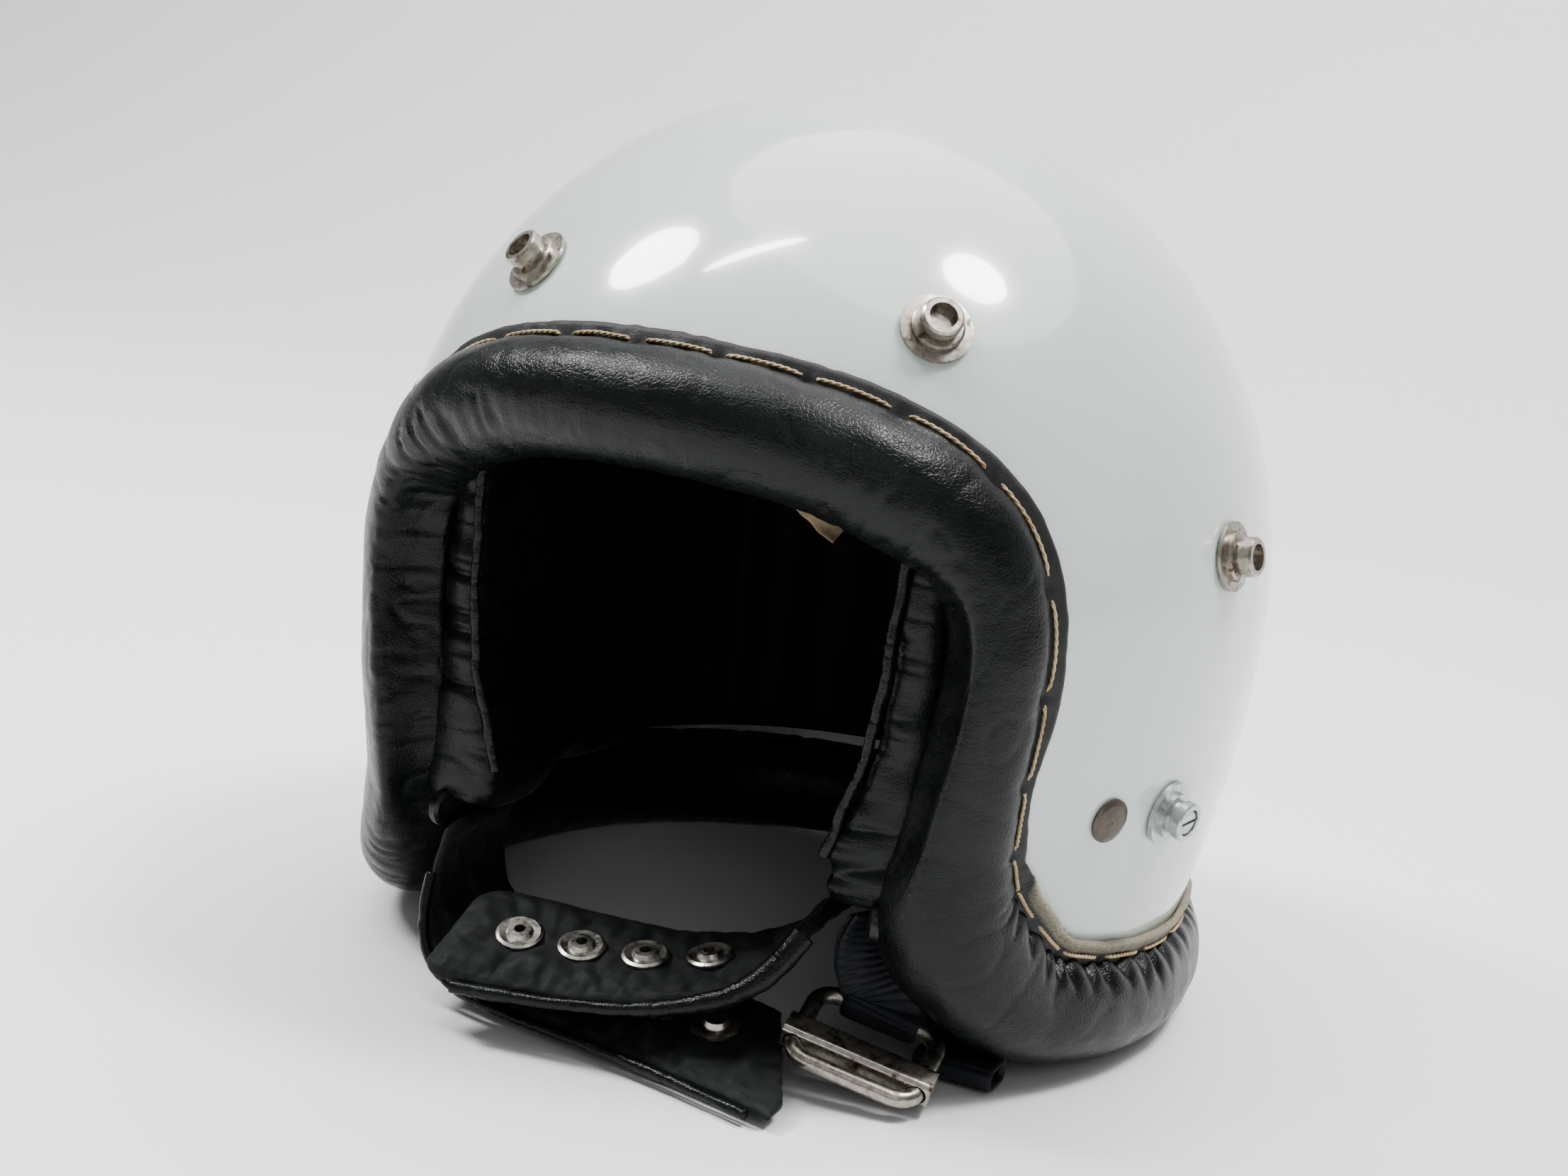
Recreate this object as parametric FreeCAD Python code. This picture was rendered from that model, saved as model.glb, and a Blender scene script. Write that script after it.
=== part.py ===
import math
import os
import FreeCAD
import Part
from FreeCAD import Vector as V

os.makedirs("parts", exist_ok=True)

# Open face helmet. Front is -Y, the wearer's left is +X, +Z is up, and the floor is z = 0.
# Driving dimensions, mm.
HALF_W = 124.0          # shell half width at its widest level
HALF_L = 128.0          # shell half length
DOME = 130.0            # widest level up to the crown
LEVEL = 116.0           # height of the widest level
CENTRE_Y = 10.0         # the shell's centre is behind the origin
TAPER = 0.22            # how far the shell draws in below its widest level
SHELL_T = 4.0           # fibreglass
LINER_T = 17.7          # impact foam
LINER_GAP = 0.2
LINING_GAP = 0.3
CROWN_T = 4.2
BROW_T = 10.7
NECK_T = 11.7
ROLL_R = 15.0           # padded edge roll
ROLL_CLEAR = 0.4
ROLL_INSET = -2.0       # the roll is centred on the middle of the shell wall
FLANGE_T = 1.8          # leather flange on the shell
STITCH_R = 0.6
STITCH_PITCH = 22.0
STITCH_LINE = 0.88      # 0 is the shell edge and 1 is the trim line
WEB_T = 1.8             # strap webbing
FLAP_T = 5.0            # padded chin flap
PIPE_R = 2.2            # leather piping
WIRE_R = 2.3            # buckle ring wire
WIRE_CLEAR = 0.35
STUD_LAND_R = 5.25      # snap stud head
STUD_LAND_L = 2.2
SHANK_R = 2.5           # stud and rivet shanks
BORE_R = 2.55           # their holes in the shell
SNAP_BORE_R = 1.5       # hole through the middle of a flap's snap

# The face opening from the side, as (y, z): the shell's edge and the leather's trim line.
EDGE = [(175, 15), (60, 15), (-10, 15.6), (-33.5, 18.3), (-54, 24), (-65, 32), (-76.5, 44), (-83.5, 62),
        (-85, 90), (-85, 126), (-89, 146), (-97, 159.5), (-108, 168), (-135, 179)]
TRIM = [(175, 35), (60, 35), (-10, 35.6), (-30, 38), (-44, 42), (-52, 48), (-60, 57), (-67, 71),
        (-70, 95), (-70, 130), (-73, 152), (-81, 169), (-93, 180.5), (-125, 194)]


def save(name, shape):
    shape.exportStep("parts/" + name + ".step")
    print(name, len(shape.Solids), shape.isValid(), round(shape.Volume, 1))


def group(pieces):
    return Part.makeCompound([solid for piece in pieces for solid in piece.Solids])


def mirror(shape):
    return shape.mirror(V(0, 0, 0), V(1, 0, 0))


def both(shape):
    return [shape, mirror(shape)]


def largest(shape):
    return max(shape.Solids, key=lambda solid: solid.Volume)


def spline(points):
    curve = Part.BSplineCurve()
    curve.interpolate(Points=points)
    return curve


def box(x0, x1, y0, y1, z0, z1):
    return Part.makeBox(x1 - x0, y1 - y0, z1 - z0, V(x0, y0, z0))


def prism(outline, rise):
    """Extrude a closed outline of points."""
    return Part.Face(Part.makePolygon(outline + [outline[0]])).extrude(rise)


def turned(profile, centre, axis):
    """Revolve an (r, h) outline and stand it at centre along axis."""
    body = Part.Face(Part.makePolygon([V(r, 0, h) for r, h in profile + profile[:1]]))
    body = body.revolve(V(0, 0, 0), V(0, 0, 1), 360)
    body.Placement = FreeCAD.Placement(centre, FreeCAD.Rotation(V(0, 0, 1), axis))
    return body


def sweep(points, radius):
    """Round bar along a smooth curve."""
    path = Part.Wire([spline(points).toShape()])
    edge = path.Edges[0]
    start = edge.FirstParameter
    ring = Part.Wire([Part.makeCircle(radius, edge.valueAt(start), edge.tangentAt(start))])
    return path.makePipeShell([ring], True, True)


def resample(points, count):
    """Evenly spaced points along a polyline."""
    run = [0.0]
    for a, b in zip(points, points[1:]):
        run.append(run[-1] + a.distanceToPoint(b))
    out, j = [], 0
    for i in range(count):
        want = run[-1] * i / (count - 1)
        while j < len(run) - 2 and run[j + 1] < want:
            j += 1
        share = (want - run[j]) / (run[j + 1] - run[j])
        out.append(points[j] + (points[j + 1] - points[j]) * share)
    return out


# The shell's form: an ellipse in plan, scaled by pull(z) at each height.

def pull(z, off=0.0):
    """Plan scale of the shell, grown by off, at height z."""
    if z >= LEVEL:
        return math.sqrt(max(0.0, 1 - ((z - LEVEL) / (DOME + off)) ** 2))
    return 1 - TAPER * ((LEVEL - z) / DOME) ** 2


def dome(off, bottom=-12.0, arcs=10, steps=6):
    """Solid of the shell's outer form, grown by off."""
    a = HALF_W + off
    points = []
    for i in range(arcs + 1):
        t = math.pi / 2 * i / arcs
        points.append(V(a * math.sin(t), 0, LEVEL + (DOME + off) * math.cos(t)))
    for k in range(1, steps + 1):
        z = LEVEL - (LEVEL - bottom) * k / steps
        points.append(V(a * pull(z), 0, z))
    side = spline(points).toShape()
    foot = Part.makeLine(points[-1], V(0, 0, bottom))
    axis = Part.makeLine(V(0, 0, bottom), points[0])
    body = Part.Face(Part.Wire([side, foot, axis])).revolve(V(0, 0, 0), V(0, 0, 1), 360)
    stretch = FreeCAD.Matrix()
    stretch.scale(1, (HALF_L + off) / a, 1)
    body = body.transformGeometry(stretch)
    body.translate(V(0, CENTRE_Y, 0))
    return body


def layer(outer_off, inner_off):
    return dome(outer_off).cut(dome(inner_off))


def on_shell(y, z, off=0.0):
    """Point of the shell's surface grown by off, on the wearer's left."""
    s = pull(z, off)
    w = 1 - ((y - CENTRE_Y) / ((HALF_L + off) * s)) ** 2
    return V((HALF_W + off) * s * math.sqrt(max(0.0, w)), y, z)


def normal_at(p, d=0.05):
    """Outward normal of the shell at p, by differences of d."""
    def level(q):
        s = pull(q.z)
        return (q.x / (HALF_W * s)) ** 2 + ((q.y - CENTRE_Y) / (HALF_L * s)) ** 2
    steps = [V(d, 0, 0), V(0, d, 0), V(0, 0, d)]
    return V(*[level(p + e) - level(p - e) for e in steps]).normalize()


def side_curve(k):
    """Side-view curve between the shell's edge (k = 0) and the trim line (k = 1)."""
    return [V(0, e[0] * (1 - k) + t[0] * k, e[1] * (1 - k) + t[1] * k) for e, t in zip(EDGE, TRIM)]


def below(k, half=170.0, front=-220.0, floor=-60.0):
    """Everything under and in front of a side-view curve."""
    points = side_curve(k)
    corners = [points[-1], V(0, front, points[-1].z + 20), V(0, front, floor),
               V(0, points[0].y, floor), points[0]]
    lines = [Part.makeLine(a, b) for a, b in zip(corners, corners[1:])]
    tool = Part.Face(Part.Wire([spline(points).toShape()] + lines)).extrude(V(2 * half, 0, 0))
    tool.translate(V(-half, 0, 0))
    return tool


def half_loop(k, off, count, fine=3000):
    """Points along a side-view curve on the shell, back centre to brow centre, wearer's left."""
    curve = spline(side_curve(k))
    span = curve.LastParameter - curve.FirstParameter
    raw = []
    for i in range(fine + 1):
        p = curve.value(curve.FirstParameter + span * i / fine)
        if abs(p.y - CENTRE_Y) <= pull(p.z, off) * (HALF_L + off):
            raw.append(on_shell(p.y, p.z, off))
    raw[0].x = 0
    raw[-1].x = 0
    return resample(raw, count)


def full_loop(k, off, count):
    half = half_loop(k, off, count)
    return half + [V(-p.x, p.y, p.z) for p in reversed(half[:-1])]


def half_tube(radius, stations=24):
    """Padded tube round the wearer's left half of the opening, from the back to the brow."""
    half = half_loop(0.0, ROLL_INSET, stations)
    ends = [V(-p.x, p.y, p.z) for p in (half[1], half[-2])]
    curve = spline([ends[0]] + half + [ends[1]])
    rings = []
    for p in half:
        u = curve.parameter(p)
        rings.append(Part.Wire([Part.makeCircle(radius, curve.value(u), V(*curve.tangent(u)[0]))]))
    return Part.makeLoft(rings, True, False)


def ribbon(rows, thick):
    """Flat strip through rows of (centre, width direction, half width, normal)."""
    wires = []
    for c, w, half, n in rows:
        w = V(w).normalize()
        n = (V(n) - w * V(n).dot(w)).normalize()
        a, b = w * half, n * (thick / 2)
        wires.append(Part.makePolygon([c - a - b, c + a - b, c + a + b, c - a + b, c - a - b]))
    return Part.makeLoft(wires, True, False)


# Shell, padded edge, flange and impact liner.
opening = below(0.0)
left_side = box(0, 170, -200, 200, -20, 260)
shell = layer(0.0, -SHELL_T).cut(opening)
tube = half_tube(ROLL_R)
tube_clear = half_tube(ROLL_R + ROLL_CLEAR)
roll = tube.cut(layer(0.0, -SHELL_T).common(left_side).cut(opening))
skin = layer(FLANGE_T, 0.0).common(left_side)
flange = skin.common(below(1.0)).cut(below(0.3)).cut(tube)
flange = max(flange.Solids, key=lambda solid: solid.BoundBox.DiagonalLength)
flange = flange.fuse(mirror(flange)).removeSplitter()
inside = -SHELL_T - LINER_T
liner = layer(-SHELL_T - LINER_GAP, inside).cut(below(1.02))

# Soft lining: crown, brow band, neck band.
crown = layer(inside - LINING_GAP, inside - LINING_GAP - CROWN_T)
crown = crown.common(box(-130, 130, -140, 160, 182, 260))
brow = layer(inside - LINING_GAP, inside - LINING_GAP - BROW_T).common(box(-66, 66, -140, -30, 147, 181))
neck = layer(inside - LINING_GAP, inside - LINING_GAP - NECK_T).common(box(-78, 78, 50, 150, 38, 120))

# Cheek pad with the chin end that carries a flap. The binding runs down its front edge.
CHEEK_FOOT, CHEEK_H = 47.0, 98.0
cheek = prism([V(56, -84, CHEEK_FOOT), V(64, -85, CHEEK_FOOT), V(67, -67, CHEEK_FOOT),
               V(73, -52, CHEEK_FOOT), V(84, -24, CHEEK_FOOT), V(86, 20, CHEEK_FOOT),
               V(56, 24, CHEEK_FOOT)], V(0, 0, CHEEK_H))
cheek = cheek.makeFillet(7.0, [e for e in cheek.Edges if e.BoundBox.XMax < 57 and e.Length > 90])
chin = prism([V(58, -82, 92), V(47, -82, 58), V(47, -82, 47.5), V(58, -82, 47.5)], V(0, 50, 0))
cheek = largest(cheek.fuse(chin).removeSplitter().cut(tube_clear))
binding = sweep([V(59.5, -86.6, 142), V(58.5, -86.8, 120), V(57.6, -86.8, 100), V(54.5, -86.2, 82),
                 V(50, -85.4, 68), V(47.5, -85.0, 60)], PIPE_R)
tape_width = V(0.85, 0.2, -0.5)
tape = ribbon([(V(27, -77, 146.6), tape_width, 3.5, V(0, 1, 0.2)),
               (V(31, -74, 140), tape_width, 3.5, V(0, 1, 0.4)),
               (V(37, -71, 134), tape_width, 3.5, V(0, 1, 0.3))], 0.9)

# Studs and rivets through the shell. Outlines are (r, h) with h = 0 on the shell's surface.
visor_points = [on_shell(-76, 193), on_shell(-11.5, 141)]
low_point = on_shell(-24, 74)
strap_point = on_shell(-47, 75)
LAND = 4.9              # foot of the stud head's cylindrical land
LAND_TOP = LAND + STUD_LAND_L
STUD = [(0, -5.2), (SHANK_R, -5.2), (SHANK_R, 0.4), (9.2, 0.4), (9.2, 1.3), (6.7, 1.5), (6.7, 2.7),
        (6.1, 3.1), (4.5, 3.3), (4.5, 4.5), (STUD_LAND_R, LAND), (STUD_LAND_R, LAND_TOP), (4.7, 7.6),
        (3.5, 7.6), (3.5, 4.7), (0, 4.7)]
LOW = [(2.1, 0.4), (8.6, 0.4), (8.6, 1.7), (6.2, 1.7), (6.2, 3.2), (4.6, 3.4), (4.6, 4.5),
       (STUD_LAND_R, LAND), (STUD_LAND_R, LAND_TOP), (4.9, 7.5), (3.7, 7.5), (3.7, 5.0), (2.1, 5.0)]
SCREW = [(0, -8.0), (2.0, -8.0), (2.0, 5.05), (3.5, 5.05), (3.5, 6.9), (2.9, 7.2), (0, 7.2)]
RIVET = [(0, -5.4), (SHANK_R, -5.4), (SHANK_R, 0.35), (6.0, 0.35), (6.0, 0.8), (4.6, 1.4), (2.4, 1.7),
         (0, 1.8)]
CLINCH = [(BORE_R, -5.3), (6.5, -5.3), (6.5, -4.25), (BORE_R, -4.25)]
BURR = [(BORE_R, -5.4), (8, -5.4), (8, -4.25), (BORE_R, -4.25)]
NUT = [(2.05, -7.8), (4.0, -7.8), (4.0, -5.4), (6.5, -5.3), (6.5, -4.25), (2.05, -4.25)]
BORE = [(0, -7), (BORE_R, -7), (BORE_R, 4), (0, 4)]
POCKET = [(0, -12), (8.6, -12), (8.6, -3), (0, -3)]
SLOT_TURN = 82          # how the slotted screws happen to stand, degrees


def placed(profile, points):
    """The turned piece at each point of the shell, both sides."""
    out = []
    for p in points:
        out += both(turned(profile, p, normal_at(p)))
    return out


def screw_slot(p, width=7.4, gap=0.9, depth=1.2, foot=6.1):
    cutter = Part.makeBox(width, gap, depth, V(-width / 2, -gap / 2, foot))
    cutter.rotate(V(0, 0, 0), V(0, 0, 1), SLOT_TURN)
    seat = FreeCAD.Placement(p, FreeCAD.Rotation(V(0, 0, 1), normal_at(p)))
    cutter.Placement = seat.multiply(cutter.Placement)
    return cutter


screws = [s.cut(t) for s, t in zip(placed(SCREW, [low_point]), both(screw_slot(low_point)))]
fixed_points = visor_points + [low_point, strap_point]
for drill in placed(BORE, fixed_points):
    shell = shell.cut(drill)
for pocket in placed(POCKET, fixed_points):
    liner = liner.cut(pocket)

# Long running stitches just inside the trim line, each of them a curved bar.
line = full_loop(STITCH_LINE, FLANGE_T + STITCH_R + 0.05, 400)
length = sum(a.distanceToPoint(b) for a, b in zip(line, line[1:]))
stitch_count = int(round(length / STITCH_PITCH))
STEPS = 8               # short steps in one pitch; the first and last hold the gap
fine_line = resample(line, stitch_count * STEPS + 1)
stitches = []
for i in range(stitch_count):
    one = resample(fine_line[i * STEPS:(i + 1) * STEPS + 1], 12)[1:-1]
    stitches.append(sweep(resample(one, 5), STITCH_R))

# Chin flaps as rows of (centre, slope of the width in degrees, half width), from root to free end.
LEFT_ROWS = [((47.0, -72, 42.8), 8, 16.5), ((43.6, -76, 36.6), 10, 17.5), ((37.5, -81, 30.5), 12, 18),
             ((27, -86.5, 25.6), 13, 18), ((11, -92.5, 22.4), 15, 18), ((-10, -97.5, 21.4), 19, 18),
             ((-30, -101.5, 21.6), 23, 18), ((-38, -103, 21.8), 24, 17.6),
             ((-42.5, -103.6, 21.9), 24.5, 16), ((-45, -104, 22.0), 25, 13)]
RIGHT_ROWS = [((-56, -76, 44.6), 4, 16.5), ((-56.8, -77, 36), 5, 18), ((-56.4, -79, 27), 7, 19),
              ((-53.5, -81, 18.5), 10, 20), ((-45, -83.5, 12.6), 13, 20), ((-28, -86.5, 10.6), 15, 20),
              ((0, -89.5, 10.0), 15, 20), ((28, -94, 9.0), 14, 20), ((44, -97.5, 7.6), 11, 20),
              ((56, -100.5, 6.2), 8, 19.5)]
LEFT_SNAPS = (-27, -10.5, 6, 22)
RIGHT_SNAPS = (-20, -4, 12, 28)
SNAP_INSET = -1.0       # the snaps are a little behind the flap's middle
CAP = FLAP_T / 2 + 0.05  # where the snap's cap rests
SOCKET = [(SNAP_BORE_R, -3.9), (6.0, -3.9), (6.0, -CAP), (2.6, -CAP), (2.6, CAP), (6.2, CAP),
          (6.2, CAP + 0.6), (5.4, CAP + 1.0), (3.6, CAP + 0.8), (3.0, CAP + 1.9),
          (SNAP_BORE_R, CAP + 1.9)]
BUTTON = [(SNAP_BORE_R, -3.9), (6.0, -3.9), (6.0, -CAP), (2.6, -CAP), (2.6, CAP), (6.6, CAP),
          (6.6, CAP + 0.8), (5.8, CAP + 1.3), (3.6, CAP + 1.0), (3.0, CAP + 2.6),
          (SNAP_BORE_R, CAP + 2.6)]


def flap_rows(rows):
    """Ribbon rows of a flap: its width slopes down towards the front."""
    mids = [V(*row[0]) for row in rows]
    out = []
    for i, (centre, slope, half) in enumerate(rows):
        along = mids[min(i + 1, len(rows) - 1)] - mids[max(i - 1, 0)]
        w = V(0, -math.cos(math.radians(slope)), -math.sin(math.radians(slope)))
        along = along - w * along.dot(w)
        out.append((V(*centre), w, half, along.cross(w)))
    return out


def front_pipe(rows, first, last):
    return sweep([c + w * (half + PIPE_R) for c, w, half, n in rows[first:last]], PIPE_R)


def row_at(rows, x):
    """Centre, width direction and upward normal of a flap where it crosses x."""
    for a, b in zip(rows, rows[1:]):
        share = (x - a[0].x) / (b[0].x - a[0].x)
        if 0 <= share <= 1:
            w = (a[1] * (1 - share) + b[1] * share).normalize()
            n = (V(a[3]).normalize() * (1 - share) + V(b[3]).normalize() * share).normalize()
            if n.z < 0:
                n = n * -1
            return a[0] + (b[0] - a[0]) * share, w, n
    raise ValueError(x)


def with_snaps(body, rows, xs, profile):
    """The flap with its snaps' holes, and the snaps."""
    made = []
    for x in xs:
        centre, w, n = row_at(rows, x)
        made.append(turned(profile, centre + w * SNAP_INSET, n))
        shank = turned([(0, -CAP), (2.6, -CAP), (2.6, CAP), (0, CAP)], centre + w * SNAP_INSET, n)
        body = body.cut(shank).cut(made[-1])
    return largest(body), made


left_rows, right_rows = flap_rows(LEFT_ROWS), flap_rows(RIGHT_ROWS)
left_flap, left_snaps = with_snaps(ribbon(left_rows, FLAP_T), left_rows, LEFT_SNAPS, SOCKET)
left_pipe = front_pipe(left_rows, 0, 9)
# the right flap's end is cut back from the buckle
heel = prism([V(29.5, -68, -20), V(48.5, -106, -20), V(56, -116, -20), V(90, -130, -20), V(90, -40, -20),
              V(34, -40, -20)], V(0, 0, 60))
right_flap, right_snaps = with_snaps(ribbon(right_rows, FLAP_T).cut(heel), right_rows, RIGHT_SNAPS, BUTTON)
right_pipe = front_pipe(right_rows, 1, 10).cut(heel)

# Buckle: ring axes E1 across, E2 to the front, UP off the ring's plane. REAR is the rear leg's middle.
E1 = V(0.963, 0.170, -0.208).normalize()
E2 = V(0.174, -0.985, -0.33)
E2 = (E2 - E1 * E2.dot(E1)).normalize()
UP = E1.cross(E2) * -1
REAR = V(62.6, -68.4, 16.6)
# half width, depth and corner radius of the wire's middle line
RING_HALF, RING_D, RING_C = 16.7, 27.4, 6.0
BAR_HALF, BAR_AT, BAR_D, BAR_H, BAR_T = 20.0, 19.0, 8.0, 7.2, 1.3


def ring_path():
    """Rounded rectangle in the ring's plane."""
    def at(u, v):
        return REAR + E1 * u + E2 * v
    q = RING_C * (1 - math.sqrt(0.5))
    w, d, c = RING_HALF, RING_D, RING_C
    corners = [((c - w, 0), (q - w, q), (-w, c)), ((-w, d - c), (q - w, d - q), (c - w, d)),
               ((w - c, d), (w - q, d - q), (w, d - c)), ((w, c), (w - q, q), (w - c, 0))]
    edges = []
    for i, (a, mid, b) in enumerate(corners):
        edges.append(Part.Arc(at(*a), at(*mid), at(*b)).toShape())
        edges.append(Part.makeLine(at(*b), at(*corners[(i + 1) % 4][0])))
    return Part.Wire(edges)


path = ring_path()
first = path.Edges[0]
start = Part.makeCircle(WIRE_R, first.valueAt(first.FirstParameter), first.tangentAt(first.FirstParameter))
ring = path.makePipeShell([Part.Wire([start])], True, True)

bar = box(-BAR_HALF, BAR_HALF, BAR_AT - BAR_D / 2, BAR_AT + BAR_D / 2, -BAR_H / 2, BAR_H / 2)
bar = bar.makeFillet(1.6, [e for e in bar.Edges if e.Length > 30])
bar = bar.cut(box(-BAR_HALF + BAR_T, BAR_HALF - BAR_T, BAR_AT - BAR_D, BAR_AT + BAR_D / 2 - BAR_T,
                  -BAR_H / 2 + BAR_T, BAR_H / 2 - BAR_T))
for side in (-1, 1):
    notch = Part.makeCylinder(WIRE_R + WIRE_CLEAR, 20, V(side * RING_HALF, BAR_AT - 10, 0), V(0, 1, 0))
    bar = bar.cut(notch)
bar = bar.transformGeometry(FreeCAD.Matrix(E1.x, E2.x, UP.x, REAR.x, E1.y, E2.y, UP.y, REAR.y,
                                           E1.z, E2.z, UP.z, REAR.z, 0, 0, 0, 1))

# Webbing: doubled strip from the cheek pad, wrapped round the ring's rear leg.
wrap_in = WIRE_R + WIRE_CLEAR
half_web = RING_HALF - RING_C - 0.3
wrap = Part.makeCylinder(wrap_in + WEB_T, 2 * half_web, REAR - E1 * half_web, E1)
rise = ribbon([(REAR + V(0, 0, 1.0), E1, half_web, V(0, 1, 0)),
               (V(60.2, -67.8, 24), V(0.90, 0.38, -0.15), half_web, V(-0.4, 1, 0)),
               (V(57.6, -67.2, 31), V(0.68, 0.73, -0.08), half_web, V(-0.73, 0.68, 0)),
               (V(56.2, -66.0, 44.2), V(0.22, 0.97, 0), half_web, V(-0.97, 0.22, 0))], 2 * WEB_T)
strap = largest(wrap.fuse(rise).cut(Part.makeCylinder(wrap_in, 60, REAR - E1 * 30, E1)))

# Slack loop of the webbing under the roll's front corner, and the strip that goes up to the lining.
LOOP_X0, LOOP_X1, LOOP_Y, LOOP_Z, LOOP_HALF = 70.0, 93.0, -57.5, 4.4, 3.0


def stadium(r):
    """Flat-sided round bar across the loop."""
    body = box(LOOP_X0, LOOP_X1, LOOP_Y - LOOP_HALF, LOOP_Y + LOOP_HALF, LOOP_Z - r, LOOP_Z + r)
    for y in (LOOP_Y - LOOP_HALF, LOOP_Y + LOOP_HALF):
        body = body.fuse(Part.makeCylinder(r, LOOP_X1 - LOOP_X0, V(LOOP_X0, y, LOOP_Z), V(1, 0, 0)))
    return body


tail = stadium(2 * WEB_T).cut(stadium(WEB_T))
tail = tail.fuse(ribbon([(V(80.5, -51.6, 5.5), V(1, 0, 0), 10, V(0, 1, 0)),
                         (V(76, -48, 22), V(1, 0, 0), 11, V(0, 1, 0.2)),
                         (V(68, -42, 46.8), V(1, 0, 0), 11.5, V(0, 1, 0.2))], WEB_T))
tail = largest(tail.cut(tube_clear))

# Dark press studs that hold the lining to the inside of the roll.
DISC_R, DISC_Z, DISC_SINK = 5.2, 46.0, 1.6
front_half = [p for p in half_loop(0.0, ROLL_INSET, 400) if p.y < -40]
anchor = min(front_half, key=lambda p: abs(p.z - DISC_Z))
seat = V(-0.94, -0.34, 0).normalize()
foot = ROLL_R - DISC_SINK
disc = turned([(0, foot), (DISC_R, foot), (DISC_R, ROLL_R + 0.6), (DISC_R - 1.0, ROLL_R + 1.2),
               (0, ROLL_R + 1.3)], anchor, seat)
roll = roll.cut(Part.makeCylinder(DISC_R, 9, anchor + seat * foot, seat))

PIECES = {
    "outer_shell": shell,
    "impact_liner": liner,
    "edge_roll_left": roll,
    "edge_roll_right": mirror(roll),
    "edge_flange": flange,
    "edge_stitching": group(stitches),
    "crown_lining": crown,
    "brow_pad": brow,
    "neck_pad": neck,
    "cheek_pad_left": cheek,
    "cheek_pad_right": mirror(cheek),
    "cheek_binding_left": binding,
    "cheek_binding_right": mirror(binding),
    "sizing_ribbon": tape,
    "visor_studs": group(placed(STUD, visor_points)),
    "visor_stud_backs": group(placed(CLINCH, visor_points)),
    "side_studs": group(placed(LOW, [low_point])),
    "side_stud_screws": group(screws),
    "side_stud_nuts": group(placed(NUT, [low_point])),
    "strap_rivets": group(placed(RIVET, [strap_point])),
    "strap_rivet_backs": group(placed(BURR, [strap_point])),
    "lining_discs": group(both(disc)),
    "strap_tail": tail,
    "chin_flap_left": left_flap,
    "chin_flap_left_piping": left_pipe,
    "chin_flap_left_snaps": group(left_snaps),
    "chin_flap_right": right_flap,
    "chin_flap_right_piping": right_pipe,
    "chin_flap_right_snaps": group(right_snaps),
    "strap_webbing": strap,
    "buckle_ring": ring,
    "buckle_slide_bar": bar,
}
for name, shape in PIECES.items():
    save(name, shape)
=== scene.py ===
import itertools
import math

import bpy
import numpy as np
from mathutils import Matrix, Vector


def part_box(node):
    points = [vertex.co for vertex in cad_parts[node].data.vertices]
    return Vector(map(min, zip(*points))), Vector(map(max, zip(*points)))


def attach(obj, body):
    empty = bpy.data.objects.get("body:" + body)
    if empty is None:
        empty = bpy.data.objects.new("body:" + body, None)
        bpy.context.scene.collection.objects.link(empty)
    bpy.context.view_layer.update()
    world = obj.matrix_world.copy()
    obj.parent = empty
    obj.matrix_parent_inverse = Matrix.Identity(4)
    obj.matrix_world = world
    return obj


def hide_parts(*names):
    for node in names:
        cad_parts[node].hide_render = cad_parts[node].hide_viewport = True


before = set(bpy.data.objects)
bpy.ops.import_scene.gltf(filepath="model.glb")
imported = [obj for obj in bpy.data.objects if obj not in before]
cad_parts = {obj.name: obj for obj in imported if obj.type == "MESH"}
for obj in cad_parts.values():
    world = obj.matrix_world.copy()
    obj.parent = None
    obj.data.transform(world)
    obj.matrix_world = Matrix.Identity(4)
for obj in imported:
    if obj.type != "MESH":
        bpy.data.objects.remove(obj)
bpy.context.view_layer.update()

# The looks of the helmet. Shapes are worked out in millimetres in the CAD frame, where the front is -Y,
# the wearer's left is +X and up is +Z. piece() writes them in metres.
MM = 0.001
shell_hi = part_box("outer_shell")[1]

# ---------------------------------------------------------------- camera, with the lean of the photo
CAM_TURN, CAM_RISE, CAM_LEAN = (math.radians(a) for a in (23.06, 11.99, 7.12))
CAM_DISTANCE, CAM_LENS = 0.7221, 58.92
AIM = Vector((-0.0056, -0.0063, 0.1067))


def make_camera():
    data = bpy.data.cameras.new("camera")
    data.lens = CAM_LENS
    data.sensor_width = 36.0
    back = Vector((math.sin(CAM_TURN) * math.cos(CAM_RISE), -math.cos(CAM_TURN) * math.cos(CAM_RISE),
                   math.sin(CAM_RISE)))
    level = (-back).cross(Vector((0, 0, 1))).normalized()
    above = back.cross(level)
    right = level * math.cos(CAM_LEAN) + above * math.sin(CAM_LEAN)
    up = above * math.cos(CAM_LEAN) - level * math.sin(CAM_LEAN)
    camera = bpy.data.objects.new("camera", data)
    turn = Matrix((right, up, back)).transposed().to_4x4()
    camera.matrix_world = Matrix.Translation(AIM + back * CAM_DISTANCE) @ turn
    bpy.context.scene.collection.objects.link(camera)
    bpy.context.scene.camera = camera


make_camera()

# ---------------------------------------------------------------- shared shape tools
HALF_W = shell_hi.x / MM
HALF_L = 128.0
CENTRE_Y = shell_hi.y / MM - HALF_L
DOME = 130.0
LEVEL = shell_hi.z / MM - DOME
TAPER = 0.22
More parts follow.
